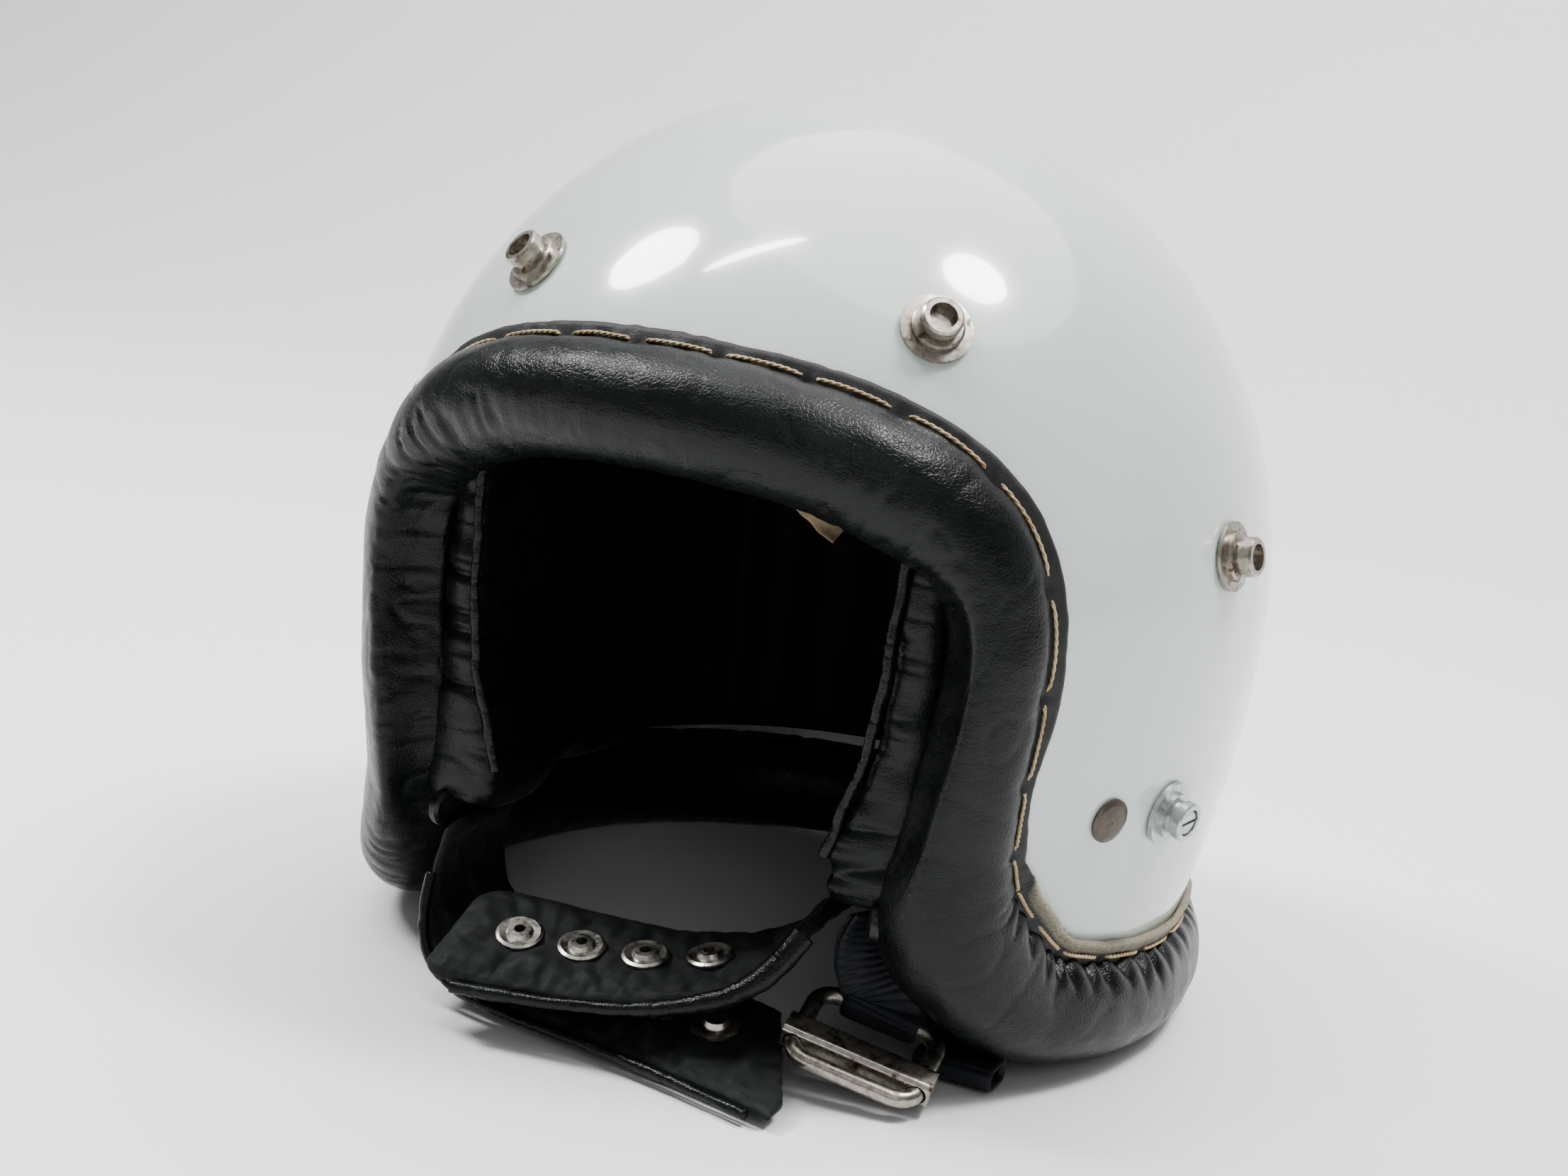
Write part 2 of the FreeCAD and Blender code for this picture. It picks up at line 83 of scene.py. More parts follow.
# the opening from the side, (y, z): the shell's edge and the leather's trim line
EDGE = [(175, 15), (60, 15), (-10, 15.6), (-33.5, 18.3), (-54, 24), (-65, 32), (-76.5, 44), (-83.5, 62),
        (-85, 90), (-85, 126), (-89, 146), (-97, 159.5), (-108, 168), (-135, 179)]
TRIM = [(175, 35), (60, 35), (-10, 35.6), (-30, 38), (-44, 42), (-52, 48), (-60, 57), (-67, 71),
        (-70, 95), (-70, 130), (-73, 152), (-81, 169), (-93, 180.5), (-125, 194)]


def unit(v):
    v = np.asarray(v, float)
    return v / np.maximum(np.linalg.norm(v, axis=-1, keepdims=True), 1e-9)


def smooth(x, lo, hi):
    """0 below lo, 1 above hi, smooth between. lo may be above hi."""
    t = np.clip((x - lo) / (hi - lo), 0, 1)
    return t * t * (3 - 2 * t)


def field(p, size, seed):
    """Smooth random field of about -1 to 1 at points p, with blobs of that size."""
    q = np.asarray(p, float) / size + seed * 7.31
    cell = np.floor(q).astype(np.int64)
    f = q - cell
    w = f * f * (3 - 2 * f)
    total = 0
    for corner in itertools.product((0, 1), repeat=3):
        c = cell + corner
        h = (c[..., 0] * 73856093) ^ (c[..., 1] * 19349663) ^ (c[..., 2] * 83492791)
        h = ((h ^ (h >> 13)) * 1274126177) & 0x7FFFFFFF
        value = ((h >> 7) & 0xFFFF) / 32768 - 1
        total = total + value * np.prod(np.where(corner, w, 1 - w), axis=-1)
    return total


def ridges(p, size, seed, sharp):
    """Thin creases, 1 on the crease and 0 between."""
    return np.clip(1 - np.abs(field(p, size, seed)) * sharp, 0, 1) ** 2


def cubic(points, count):
    """Natural cubic spline through points, by chord length."""
    p = np.asarray(points, float)
    x = np.concatenate([[0], np.cumsum(np.linalg.norm(np.diff(p, axis=0), axis=1))])
    h = np.diff(x)
    n = len(p)
    a, b = np.eye(n), np.zeros_like(p)
    for i in range(1, n - 1):
        a[i, i - 1:i + 2] = h[i - 1], 2 * (h[i - 1] + h[i]), h[i]
        b[i] = 6 * ((p[i + 1] - p[i]) / h[i] - (p[i] - p[i - 1]) / h[i - 1])
    m = np.linalg.solve(a, b)
    t = np.linspace(0, x[-1], count)
    i = np.clip(np.searchsorted(x, t, "right") - 1, 0, n - 2)
    l, r = (x[i + 1] - t)[:, None], (t - x[i])[:, None]
    g = h[i][:, None]
    return (m[i] * l ** 3 + m[i + 1] * r ** 3) / (6 * g) + (p[i] / g - m[i] * g / 6) * l \
        + (p[i + 1] / g - m[i + 1] * g / 6) * r


def resample(p, count, closed=False):
    """Evenly spaced points along a polyline."""
    p = np.vstack([p, p[:1]]) if closed else np.asarray(p)
    run = np.concatenate([[0], np.cumsum(np.linalg.norm(np.diff(p, axis=0), axis=1))])
    want = np.linspace(0, run[-1], count, endpoint=not closed)
    return np.stack([np.interp(want, run, p[:, k]) for k in range(p.shape[1])], 1)


def level_of(p, off):
    """Below 0 inside the shell's surface grown by off, above 0 outside."""
    rise = (p[..., 2] - LEVEL) / (DOME + off)
    drop = 1 - TAPER * (np.minimum(p[..., 2] - LEVEL, 0) / DOME) ** 2
    s2 = np.where(rise >= 0, 1 - rise ** 2, drop ** 2)
    return (p[..., 0] / (HALF_W + off)) ** 2 + ((p[..., 1] - CENTRE_Y) / (HALF_L + off)) ** 2 - s2


def slope_of(p, off=0.0, d=0.05):
    """Direction straight out of that surface, not of unit length."""
    return np.stack([(level_of(p + e, off) - level_of(p - e, off)) / (2 * d) for e in np.eye(3) * d], -1)


def seat(p, off=0.0, rounds=5):
    """Nearest points of the shell's surface grown by off."""
    p = np.array(p, float)
    for _ in range(rounds):
        g = slope_of(p, off)
        p = p - g * (level_of(p, off) / np.maximum((g * g).sum(-1), 1e-12))[..., None]
    return p


def opening_line(k, off, count):
    """Closed line round the opening: back centre, wearer's left, brow, wearer's right."""
    side = cubic(np.array(EDGE) * (1 - k) + np.array(TRIM) * k, 4001)
    z = side[:, 1]
    up = np.clip((z - LEVEL) / (DOME + off), 0, 0.9999)
    s = np.where(z >= LEVEL, np.sqrt(1 - up ** 2), 1 - TAPER * ((LEVEL - z) / DOME) ** 2)
    w = 1 - ((side[:, 0] - CENTRE_Y) / ((HALF_L + off) * s)) ** 2
    on = w >= 0
    left = np.stack([(HALF_W + off) * s[on] * np.sqrt(w[on]), side[on, 0], z[on]], 1)
    left[0, 0] = left[-1, 0] = 0
    return resample(np.vstack([left, (left * (-1, 1, 1))[-2:0:-1]]), count, closed=True)


def grid_faces(nu, nv, wrap_u=False, wrap_v=False):
    """Four-sided faces of a grid of nu by nv points."""
    faces = []
    for i in range(nu if wrap_u else nu - 1):
        for j in range(nv if wrap_v else nv - 1):
            a, b = i * nv + j, ((i + 1) % nu) * nv + j
            c, d = ((i + 1) % nu) * nv + (j + 1) % nv, i * nv + (j + 1) % nv
            faces.append((a, b, c, d))
    return faces


def capped_faces(n, around):
    """Faces of n rings that are closed round, with a cap at both ends."""
    faces = grid_faces(n, around, False, True)
    return faces + [tuple(range(around)), tuple(n * around - 1 - j for j in range(around))]


def piece(name, points, faces, body, look, replaces=()):
    """A mesh piece from points in millimetres, with its faces turned outwards."""
    mesh = bpy.data.meshes.new(name)
    mesh.from_pydata((np.asarray(points).reshape(-1, 3) * MM).tolist(), [], faces)
    mesh.validate()
    obj = bpy.data.objects.new(name, mesh)
    bpy.context.scene.collection.objects.link(obj)
    bpy.context.view_layer.objects.active = obj
    bpy.ops.object.select_all(action="DESELECT")
    obj.select_set(True)
    bpy.ops.object.mode_set(mode="EDIT")
    bpy.ops.mesh.select_all(action="SELECT")
    bpy.ops.mesh.normals_make_consistent(inside=False)
    bpy.ops.object.mode_set(mode="OBJECT")
    mesh.shade_smooth()
    mesh.materials.append(look)
    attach(obj, body)
    if replaces:
        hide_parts(*replaces)
    return obj


def two_sided(top, bottom):
    """Points and faces of a closed form from two grids that are joined round the rim."""
    nu, nv = top.shape[:2]
    faces = grid_faces(nu, nv)
    under = [tuple(nu * nv + i for i in reversed(f)) for f in faces]
    rim = [i * nv for i in range(nu)] + [(nu - 1) * nv + j for j in range(1, nv)]
    rim += [i * nv + nv - 1 for i in range(nu - 2, -1, -1)] + list(range(nv - 2, 0, -1))
    skirt = [(a, b, nu * nv + b, nu * nv + a) for a, b in zip(rim, rim[1:] + rim[:1])]
    return np.vstack([top.reshape(-1, 3), bottom.reshape(-1, 3)]), faces + under + skirt


def tube_of(line, radius, sides, lift=(0.03, 0.05, 1.0)):
    """Points and faces of a round bar along a line; radius is a number or one per point."""
    line = np.asarray(line, float)
    n = len(line)
    t = unit(np.gradient(line, axis=0))
    side = unit(np.cross(t, lift))
    up = np.cross(side, t)
    a = np.linspace(0, 2 * math.pi, sides, endpoint=False)
    r = np.broadcast_to(np.asarray(radius, float).reshape(-1, 1, 1), (n, 1, 1))
    ring = side[:, None] * np.cos(a)[None, :, None] + up[:, None] * np.sin(a)[None, :, None]
    points = line[:, None] + ring * r
    return points.reshape(-1, 3), capped_faces(n, sides)


def joined(parts):
    """One set of points and faces from several."""
    points, faces, base = [], [], 0
    for p, f in parts:
        points.append(np.asarray(p).reshape(-1, 3))
        faces += [tuple(i + base for i in face) for face in f]
        base += len(points[-1])
    return np.vstack(points), faces


# ---------------------------------------------------------------- materials
class Look:
    """A material with its nodes; every size is in metres of the object."""

    def __init__(self, name, colour, rough, metal=0.0, **sockets):
        self.material = bpy.data.materials.new(name)
        self.material.use_nodes = True
        self.tree = self.material.node_tree
        self.shader = self.tree.nodes["Principled BSDF"]
        self.where = self.tree.nodes.new("ShaderNodeTexCoord").outputs["Object"]
        self.set(**{"Base Color": (*colour, 1), "Roughness": rough, "Metallic": metal}, **sockets)
        self.normal = None

    def set(self, **sockets):
        for key, value in sockets.items():
            self.shader.inputs[key.replace("_", " ")].default_value = value

    def add(self, kind, **inputs):
        node = self.tree.nodes.new("ShaderNode" + kind)
        for key, value in inputs.items():
            socket = node.inputs[key.replace("_", " ")]
            if hasattr(value, "is_linked"):
                self.tree.links.new(value, socket)
            else:
                socket.default_value = value
        return node

    def stretch(self, x, y, z):
        node = self.add("Mapping", Vector=self.where)
        node.inputs["Scale"].default_value = (x, y, z)
        return node.outputs["Vector"]

    def noise(self, size, detail=3.0, rough=0.55, at=None):
        node = self.add("TexNoise", Vector=at or self.where, Scale=1 / size, Detail=detail, Roughness=rough)
        return node.outputs["Fac"]

    def cells(self, size, feature="DISTANCE_TO_EDGE"):
        node = self.add("TexVoronoi", Vector=self.where, Scale=1 / size)
        node.feature = feature
        return node

    def span(self, value, lo, hi, out_lo=0.0, out_hi=1.0):
        node = self.add("MapRange", Value=value, From_Min=lo, From_Max=hi, To_Min=out_lo, To_Max=out_hi)
        return node.outputs["Result"]

    def blend(self, share, a, b):
        node = self.tree.nodes.new("ShaderNodeMix")
        node.data_type = "RGBA"
        self.tree.links.new(share, node.inputs[0])
        for socket, value in ((node.inputs[6], a), (node.inputs[7], b)):
            if hasattr(value, "is_linked"):
                self.tree.links.new(value, socket)
            else:
                socket.default_value = (*value, 1)
        return node.outputs[2]

    def math(self, how, a, b):
        node = self.tree.nodes.new("ShaderNodeMath")
        node.operation = how
        for socket, value in zip(node.inputs, (a, b)):
            if hasattr(value, "is_linked"):
                self.tree.links.new(value, socket)
            else:
                socket.default_value = value
        return node.outputs[0]

    def bump(self, height, depth, strength):
        node = self.add("Bump", Height=height, Strength=strength, Distance=depth)
        if self.normal:
            self.tree.links.new(self.normal, node.inputs["Normal"])
        self.normal = node.outputs["Normal"]
        self.tree.links.new(self.normal, self.shader.inputs["Normal"])

    def drive(self, socket, value):
        self.tree.links.new(value, self.shader.inputs[socket])


def painted_shell():
    look = Look("shell_paint", (0.54, 0.60, 0.56), 0.16, Coat_Weight=0.7, Coat_Roughness=0.04,
                Specular_IOR_Level=0.5)
    drift = look.noise(0.05, 2.0)
    paint = look.blend(look.span(drift, 0.35, 0.65), (0.525, 0.59, 0.55), (0.56, 0.615, 0.575))
    chip = look.cells(0.021, "F1")
    rare = look.span(chip.outputs["Color"], 0.86, 0.87)
    close = look.span(chip.outputs["Distance"], 0.018, 0.012)
    speck = look.math("MULTIPLY", rare, close)
    look.drive("Base Color", look.blend(speck, paint, (0.22, 0.18, 0.13)))
    look.drive("Roughness", look.span(look.noise(0.004, 4.0), 0.2, 0.8, 0.12, 0.20))
    look.bump(look.noise(0.0032, 2.0), 0.000012, 0.6)
    return look.material


def black_leather(name="black_leather", low=0.23, high=0.38, tint=(0.0018, 0.0024, 0.0024)):
    look = Look(name, tint, 0.4, Specular_IOR_Level=0.17)
    worn = look.noise(0.022, 4.0, 0.6)
    rubbed = tuple(c * 2.1 for c in tint)
    look.drive("Base Color", look.blend(look.span(worn, 0.42, 0.72), tint, rubbed))
    look.drive("Roughness", look.span(look.noise(0.006, 5.0, 0.65), 0.3, 0.7, low, high))
    grain = look.cells(0.0011)
    look.bump(look.span(grain.outputs["Distance"], 0.0, 0.18), 0.00007, 0.55)
    look.bump(look.noise(0.0006, 3.0), 0.00006, 0.5)
    look.bump(look.noise(0.007, 4.0, 0.6, look.stretch(1.0, 1.0, 2.6)), 0.00055, 0.35)
    return look.material


def flange_leather():
    """Raw cut leather: black face, tan suede where the piece's 'suede' attribute says so."""
    look = Look("flange_leather", (0.005, 0.006, 0.006), 0.55, Specular_IOR_Level=0.3)
    raw = look.tree.nodes.new("ShaderNodeAttribute")
    raw.attribute_name = "suede"
    fibres = look.noise(0.0005, 4.0, 0.7)
    tan = look.blend(look.span(fibres, 0.3, 0.7), (0.13, 0.11, 0.07), (0.36, 0.33, 0.24))
    black = look.blend(look.noise(0.003), (0.003, 0.0035, 0.0035), (0.008, 0.009, 0.008))
    edge = look.span(look.math("ADD", raw.outputs["Fac"], look.math("MULTIPLY", fibres, 0.35)), 0.45, 0.85)
    look.drive("Base Color", look.blend(edge, black, tan))
    look.drive("Roughness", look.span(raw.outputs["Fac"], 0.0, 1.0, 0.45, 0.85))
    look.bump(fibres, 0.00018, 0.7)
    return look.material


def waxed_thread():
    look = Look("waxed_thread", (0.60, 0.47, 0.29), 0.5, Specular_IOR_Level=0.4)
    age = look.noise(0.012, 3.0)
    look.drive("Base Color", look.blend(look.span(age, 0.35, 0.7), (0.52, 0.40, 0.23), (0.30, 0.19, 0.08)))
    look.bump(look.noise(0.0003, 2.0), 0.00005, 0.6)
    return look.material


def cloth(name, dark, light, pitch=0.00055, rough=0.72, sheen=0.25, depth=0.00006):
    look = Look(name, dark, rough, Sheen_Weight=sheen, Sheen_Roughness=0.45, Specular_IOR_Level=0.16)
    look.drive("Base Color", look.blend(look.span(look.noise(0.009, 4.0), 0.35, 0.7), dark, light))
    waves = []
    for direction in ("X", "Z"):
        node = look.add("TexWave", Vector=look.where, Scale=1 / pitch / 6.28, Distortion=0.6, Detail=1.0)
        node.bands_direction = direction
        waves.append(node.outputs["Fac"])
    look.bump(look.math("MAXIMUM", *waves), depth, 0.6)
    look.bump(look.noise(0.004, 4.0), 0.0003, 0.4)
    look.drive("Roughness", look.span(look.noise(0.005, 4.0), 0.3, 0.7, rough - 0.12, rough + 0.1))
    return look.material


def metal(name, bright, dull, rough, tarnish, spread):
    look = Look(name, bright, rough, 1.0)
    age = look.noise(0.004, 6.0, 0.65)
    clean = look.blend(look.span(look.noise(0.0015, 3.0), 0.3, 0.7), bright, dull)
    stain = look.span(age, spread, spread + 0.12)
    look.drive("Base Color", look.blend(stain, clean, tarnish))
    look.drive("Roughness", look.span(age, 0.35, 0.75, rough - 0.06, rough + 0.25))
    look.bump(look.noise(0.0004, 4.0, 0.6), 0.00002, 0.5)
    look.bump(look.noise(0.0030, 2.0), 0.00008, 0.35)
    return look.material


def foam():
    look = Look("foam", (0.006, 0.006, 0.006), 0.85, Specular_IOR_Level=0.2)
    bead = look.cells(0.0035)
    look.drive("Base Color", look.blend(look.noise(0.01), (0.004, 0.004, 0.004), (0.008, 0.008, 0.008)))
    look.bump(look.span(bead.outputs["Distance"], 0.0, 0.2), 0.0003, 0.5)
    return look.material


PAINT = painted_shell()
LEATHER = black_leather()
GLOSSY = black_leather("bound_leather", 0.20, 0.36)
FLANGE = flange_leather()
THREAD = waxed_thread()
FLAP_CLOTH = cloth("flap_cloth", (0.0028, 0.0036, 0.0036), (0.006, 0.0075, 0.0075), sheen=0.03)
LINING_CLOTH = cloth("lining_cloth", (0.003, 0.003, 0.003), (0.006, 0.006, 0.006), 0.0009, sheen=0.03)
WEBBING = cloth("black_webbing", (0.003, 0.004, 0.006), (0.008, 0.010, 0.014), 0.0007, 0.5, 0.05)
TAPE = cloth("tan_tape", (0.12, 0.085, 0.045), (0.20, 0.15, 0.09), 0.0006, 0.7, 0.05)
NICKEL = metal("aged_nickel", (0.42, 0.385, 0.335), (0.24, 0.215, 0.18), 0.27, (0.06, 0.035, 0.018), 0.56)
SNAP_NICKEL = metal("snap_nickel", (0.46, 0.44, 0.40), (0.25, 0.235, 0.20), 0.26, (0.07, 0.06, 0.035), 0.6)
ZINC = metal("zinc_plate", (0.52, 0.55, 0.55), (0.36, 0.38, 0.38), 0.30, (0.3, 0.28, 0.24), 0.72)
BLACK_STUD = metal("black_stud", (0.035, 0.036, 0.038), (0.02, 0.02, 0.02), 0.35, (0.02, 0.014, 0.01), 0.6)
DARK = metal("dark_rivet", (0.10, 0.085, 0.070), (0.07, 0.06, 0.05), 0.42, (0.05, 0.035, 0.025), 0.6)

for node, look in {"outer_shell": PAINT, "impact_liner": foam(), "visor_studs": NICKEL,
                   "visor_stud_backs": NICKEL, "side_studs": ZINC, "side_stud_screws": ZINC,
                   "side_stud_nuts": ZINC, "strap_rivets": DARK, "strap_rivet_backs": ZINC,
                   "lining_discs": BLACK_STUD, "chin_flap_left_snaps": SNAP_NICKEL,
                   "chin_flap_right_snaps": SNAP_NICKEL, "buckle_ring": NICKEL,
                   "buckle_slide_bar": NICKEL}.items():
    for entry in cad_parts[node].material_slots:
        entry.material = look
    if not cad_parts[node].material_slots:
        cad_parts[node].data.materials.append(look)

# ---------------------------------------------------------------- padded edge roll, flange and stitches
STATIONS, ROUND = 940, 96   # points along the roll and round it
ROLL_R = 15.0
SLIM = 9.8              # how much the roll is drawn in on its upright sides, towards the opening
SEAM_AT = 84            # degrees round the roll where the stitches pull it in
STITCHES = 43
STITCH_POINTS = 46
THREAD_R, PLY_R, PLY_PITCH = 0.33, 0.22, 3.4
FLANGE_T = 1.7
FLANGE_STATIONS, FLANGE_ROWS = 1400, 9
FIBRES = 2600
SMOOTHING = 60          # stations over which the flange's width is evened out
ON_SHELL = 0.06         # gap between the flange's underside and the shell
SHELL_MIDDLE = np.array([0, 60.0, 120.0])
centre = opening_line(0.0, -2.0, STATIONS)
along = unit(np.roll(centre, -1, 0) - np.roll(centre, 1, 0))
out = unit(slope_of(seat(centre)))
away = unit(np.cross(out, along))
away *= np.sign((away * (SHELL_MIDDLE - centre)).sum(-1))[:, None]
trim = opening_line(1.0, 0.0, 4000)
reach = np.sqrt(((seat(centre)[:, None] - trim[None]) ** 2).sum(-1)).min(1)
kernel = np.hanning(SMOOTHING + 1) / np.hanning(SMOOTHING + 1).sum()
reach = np.convolve(np.concatenate([reach[-SMOOTHING:], reach, reach[:SMOOTHING]]), kernel,
                    "same")[SMOOTHING:-SMOOTHING]
crease = reach * 0.80 - 0.4
step = np.linalg.norm(np.roll(centre, -1, 0) - centre, axis=1)
run = np.concatenate([[0], np.cumsum(step)[:-1]])
ROUND_LENGTH = step.sum()
PITCH = ROUND_LENGTH / STITCHES


def at_run(values, s):
    """Values of the stations at run lengths s, round the closed line."""
    s = np.mod(s, ROUND_LENGTH)
    grown = np.vstack([values, values[:1]]) if values.ndim > 1 else np.append(values, values[0])
    xs = np.append(run, ROUND_LENGTH)
    if values.ndim == 1:
        return np.interp(s, xs, grown)
    return np.stack([np.interp(s, xs, grown[:, k]) for k in range(values.shape[1])], -1)


def from_hole(s):
    """Distance along the seam to the nearest stitch hole."""
    return np.abs((s / PITCH + 0.5) % 1 - 0.5) * PITCH


def make_roll():
    """Padded leather roll round the opening, pulled in by its seam."""
    turn = np.linspace(0, 2 * math.pi, ROUND, endpoint=False)
    cn, sn = np.cos(turn)[None], np.sin(turn)[None]
    shell_side = np.clip(sn, 0, 1) * smooth(cn, -0.3, 0.1)
    low_end = np.where(centre[:, 0] < 0, 22, 0)
    upright = smooth(centre[:, 2], 40 - low_end, 75 - low_end) * smooth(centre[:, 2], 160, 125)
    upright *= smooth(centre[:, 1], -60 + low_end, -75 + low_end)
    wide = ROLL_R + (crease[:, None] + 0.2 - ROLL_R) * shell_side
    wide = wide - SLIM * upright[:, None] * np.clip(-sn, 0, 1)
    high = ROLL_R - (3.6 + 1.6 * (cn < 0)) * upright[:, None] * np.abs(cn)
    p0 = centre[:, None] + out[:, None] * (cn * high)[..., None] + away[:, None] * (sn * wide)[..., None]
    ray = unit(p0 - centre[:, None])
    s, a = np.broadcast_arrays(run[:, None], np.degrees(turn)[None])
    a = np.where(a > 180, a - 360, a)
    flat_at = np.stack([s, a * 0.26, np.zeros_like(s)], -1)
    hole = from_hole(s)
    near_seam = np.exp(-((a - SEAM_AT) / 17) ** 2)
    push = -0.9 * np.exp(-(hole / 1.6) ** 2) * near_seam
    push += 0.35 * np.sin(math.pi * (s / PITCH % 1)) * np.exp(-((a - 62) / 16) ** 2)
    # gathers that run down from the seam: strong round the lower front corners, faint elsewhere
    corner = smooth(p0[..., 2], 62, 40) * smooth(p0[..., 1], 30, -20)
    lower = smooth(p0[..., 2], 70, 45)
    gather = 0.16 + 1.15 * corner + 0.5 * lower
    bent = s + 2.2 * field(flat_at, 9.0, 3) + 0.06 * (a - 80) * field(flat_at * (1, 0, 0), 31.0, 5)
    pleat = np.abs(np.sin(math.pi * bent / 8.4)) ** 0.55
    length = 30 + 34 * (0.5 + 0.5 * field(flat_at * (1, 0, 0), 11.0, 8))
    fade = smooth(SEAM_AT - a, length, 4) * smooth(a, 100, 88)
    push -= 1.8 * (1 - pleat) * gather * fade
    # fine cross wrinkles inside the bends and on the wearer's right
    stretched = np.stack([s, a * 0.05, np.zeros_like(s)], -1)
    inner = smooth(a, 10, -40) * smooth(a, -175, -120)
    bend = smooth(np.abs(p0[..., 0]), 30, 60) * smooth(p0[..., 2], 118, 150)
    right_side = smooth(p0[..., 0], -30, -60) * smooth(p0[..., 1], -50, -75)
    push -= (0.75 * bend + 0.55 * right_side + 0.1) * inner * ridges(stretched, 3.1, 2, 2.4)
    push -= 0.25 * ridges(flat_at + 3 * field(flat_at, 14.0, 12)[..., None], 12.0, 15, 5.0)
    push += 0.55 * field(p0, 26.0, 4) + 0.22 * field(p0, 9.0, 6)
    p = p0 + ray * push[..., None]
    p[..., 2] = np.maximum(p[..., 2], 0.15 + 0.1 * field(p0, 8.0, 9))
    roll = piece("padded_edge_roll", p, grid_faces(STATIONS, ROUND, True, True), "helmet",
                 LEATHER, ["edge_roll_left", "edge_roll_right"])


def on_strip(s, across, height):
    """Point on the shell beside the roll: run length, distance from the shell's edge, height."""
    base = seat(at_run(centre, s))
    p = seat(base + unit(at_run(away, s)) * np.asarray(across)[..., None])
    for _ in range(2):
        p = seat(p)
    return p + unit(slope_of(p)) * np.asarray(height)[..., None]


def make_flange():
    """Cut leather strip under the stitches; its outer edge is ragged and shows the suede."""
    count, across = FLANGE_STATIONS, FLANGE_ROWS
    s = np.linspace(0, ROUND_LENGTH, count, endpoint=False)
    level = at_run(centre, s)[:, 2]
    flat_at = np.stack([s, np.zeros_like(s), np.zeros_like(s)], -1)
    outer = at_run(reach, s) + 0.5 * field(flat_at, 17.0, 1) + 0.35 * field(flat_at, 3.0, 2)
    outer -= 1.6 * (smooth(level, 52, 68) * smooth(level, 108, 88))
    outer = np.maximum(outer, at_run(crease, s) + 1.2)
    inner = at_run(crease, s) - 2.2
    hole = from_hole(s)
    low = smooth(level, 60, 30)
    lift = 0.5 + 0.5 * field(flat_at, 21.0, 4)
    lift = 0.5 * lift + (0.6 + 1.1 * np.abs(field(flat_at, 8.0, 5))) * low
    rows, raw = [], []
    for j in range(across):
        t = j / (across - 1)
        h = FLANGE_T + lift * t ** 1.5 - 0.75 * np.exp(-(hole / 1.4) ** 2) * np.exp(-(t / 0.5) ** 2)
        h += 0.2 * field(np.stack([s, s * 0 + t * 6, s * 0], -1), 2.4, 6) - 0.35 * (t > 0.98)
        rows.append(on_strip(s, inner + (outer - inner) * t, h))
        raw.append(np.full(count, max(0.0, (t - 0.8) * 1.6)) + 0.5 * low * smooth(t, 0.25, 0.7))
    # the cut edge, then back along the underside
    under = np.maximum(lift * 0.75, ON_SHELL)
    lying = np.full(count, ON_SHELL)
    for off, height, bare in ((outer + 0.1, under + 0.55, 1.0), (outer - 0.1, under, 1.0),
                              (inner + (outer - inner) * 0.5, lying, 0.6), (inner, lying, 0.0)):
        rows.append(on_strip(s, off, height))
        raw.append(np.full(count, bare))
    p = np.stack(rows, 1)
    strip = piece("leather_flange", p, grid_faces(count, p.shape[1], True, True), "helmet",
                  FLANGE, ["edge_flange"])
    suede = strip.data.attributes.new("suede", "FLOAT", "POINT")
    suede.data.foreach_set("value", np.stack(raw, 1).ravel().astype(np.float32))
    return s, outer, under


def make_fuzz(s, outer, under):
    """Short suede fibres that stand out of the flange's cut edge."""
    rng = np.random.default_rng(5)
    parts = []
    for _ in range(FIBRES):
        i = rng.integers(len(s))
        at, cut_edge = s[i:i + 1], outer[i:i + 1]
        thick = field(np.array([[s[i], 0.0, 0.0]]), 13.0, 21)[0]
        if rng.random() > 0.45 + 0.6 * thick:
            continue
        reach_out = rng.uniform(0.3, 1.3)
        skew = rng.normal(0, 0.7)
        root = on_strip(at, cut_edge - 0.15, np.array([under[i] + rng.uniform(0.1, 0.9)]))[0]
        tip = on_strip(at + skew, cut_edge + reach_out, np.array([under[i] + rng.uniform(0.1, 1.6)]))[0]
        mid = (root + tip) / 2 + rng.normal(0, 0.12, 3)
        parts.append(tube_of([root, mid, tip], np.array([0.055, 0.045, 0.015]), 3))
    points, faces = joined(parts)
    piece("suede_fibres", points, faces, "helmet", SUEDE)


def suede_look():
    look = Look("suede", (0.33, 0.31, 0.24), 0.9)
    look.drive("Base Color", look.blend(look.noise(0.004), (0.24, 0.21, 0.14), (0.45, 0.43, 0.35)))
    return look.material


SUEDE = suede_look()


def make_stitches():
    """Two-ply waxed thread in long running stitches that dive into the leather at both ends."""
    rng = np.random.default_rng(11)
    parts = []
    for i in range(STITCHES):
        gap0, gap1 = rng.uniform(0.9, 2.0, 2)
        s = np.linspace(i * PITCH + gap0, (i + 1) * PITCH - gap1, STITCH_POINTS)
        t = np.linspace(0, 1, STITCH_POINTS)
        dive = np.minimum(t, 1 - t) * (s[-1] - s[0])
        height = FLANGE_T + 0.62 - 2.4 * np.exp(-dive / 0.75) + 0.12 * np.sin(t * math.pi)
        sway = 0.25 * field(np.stack([s, s * 0, s * 0], -1), 6.0, 31) + 0.3 * np.sin(t * math.pi)
        line = on_strip(s, at_run(crease, s) + 0.55 + sway, height)
        tangent = unit(np.gradient(line, axis=0))
        normal = unit(slope_of(seat(line)))
        side = unit(np.cross(tangent, normal))
        normal = np.cross(side, tangent)
        ply_turn = s * 2 * math.pi / PLY_PITCH
        for ply in (0.0, math.pi):
            c, d = np.cos(ply_turn + ply), np.sin(ply_turn + ply)
            strand = line + (side * c[:, None] + normal * d[:, None]) * PLY_R
            parts.append(tube_of(strand, THREAD_R, 7))
    points, faces = joined(parts)
    piece("running_stitches", points, faces, "helmet", THREAD, ["edge_stitching"])


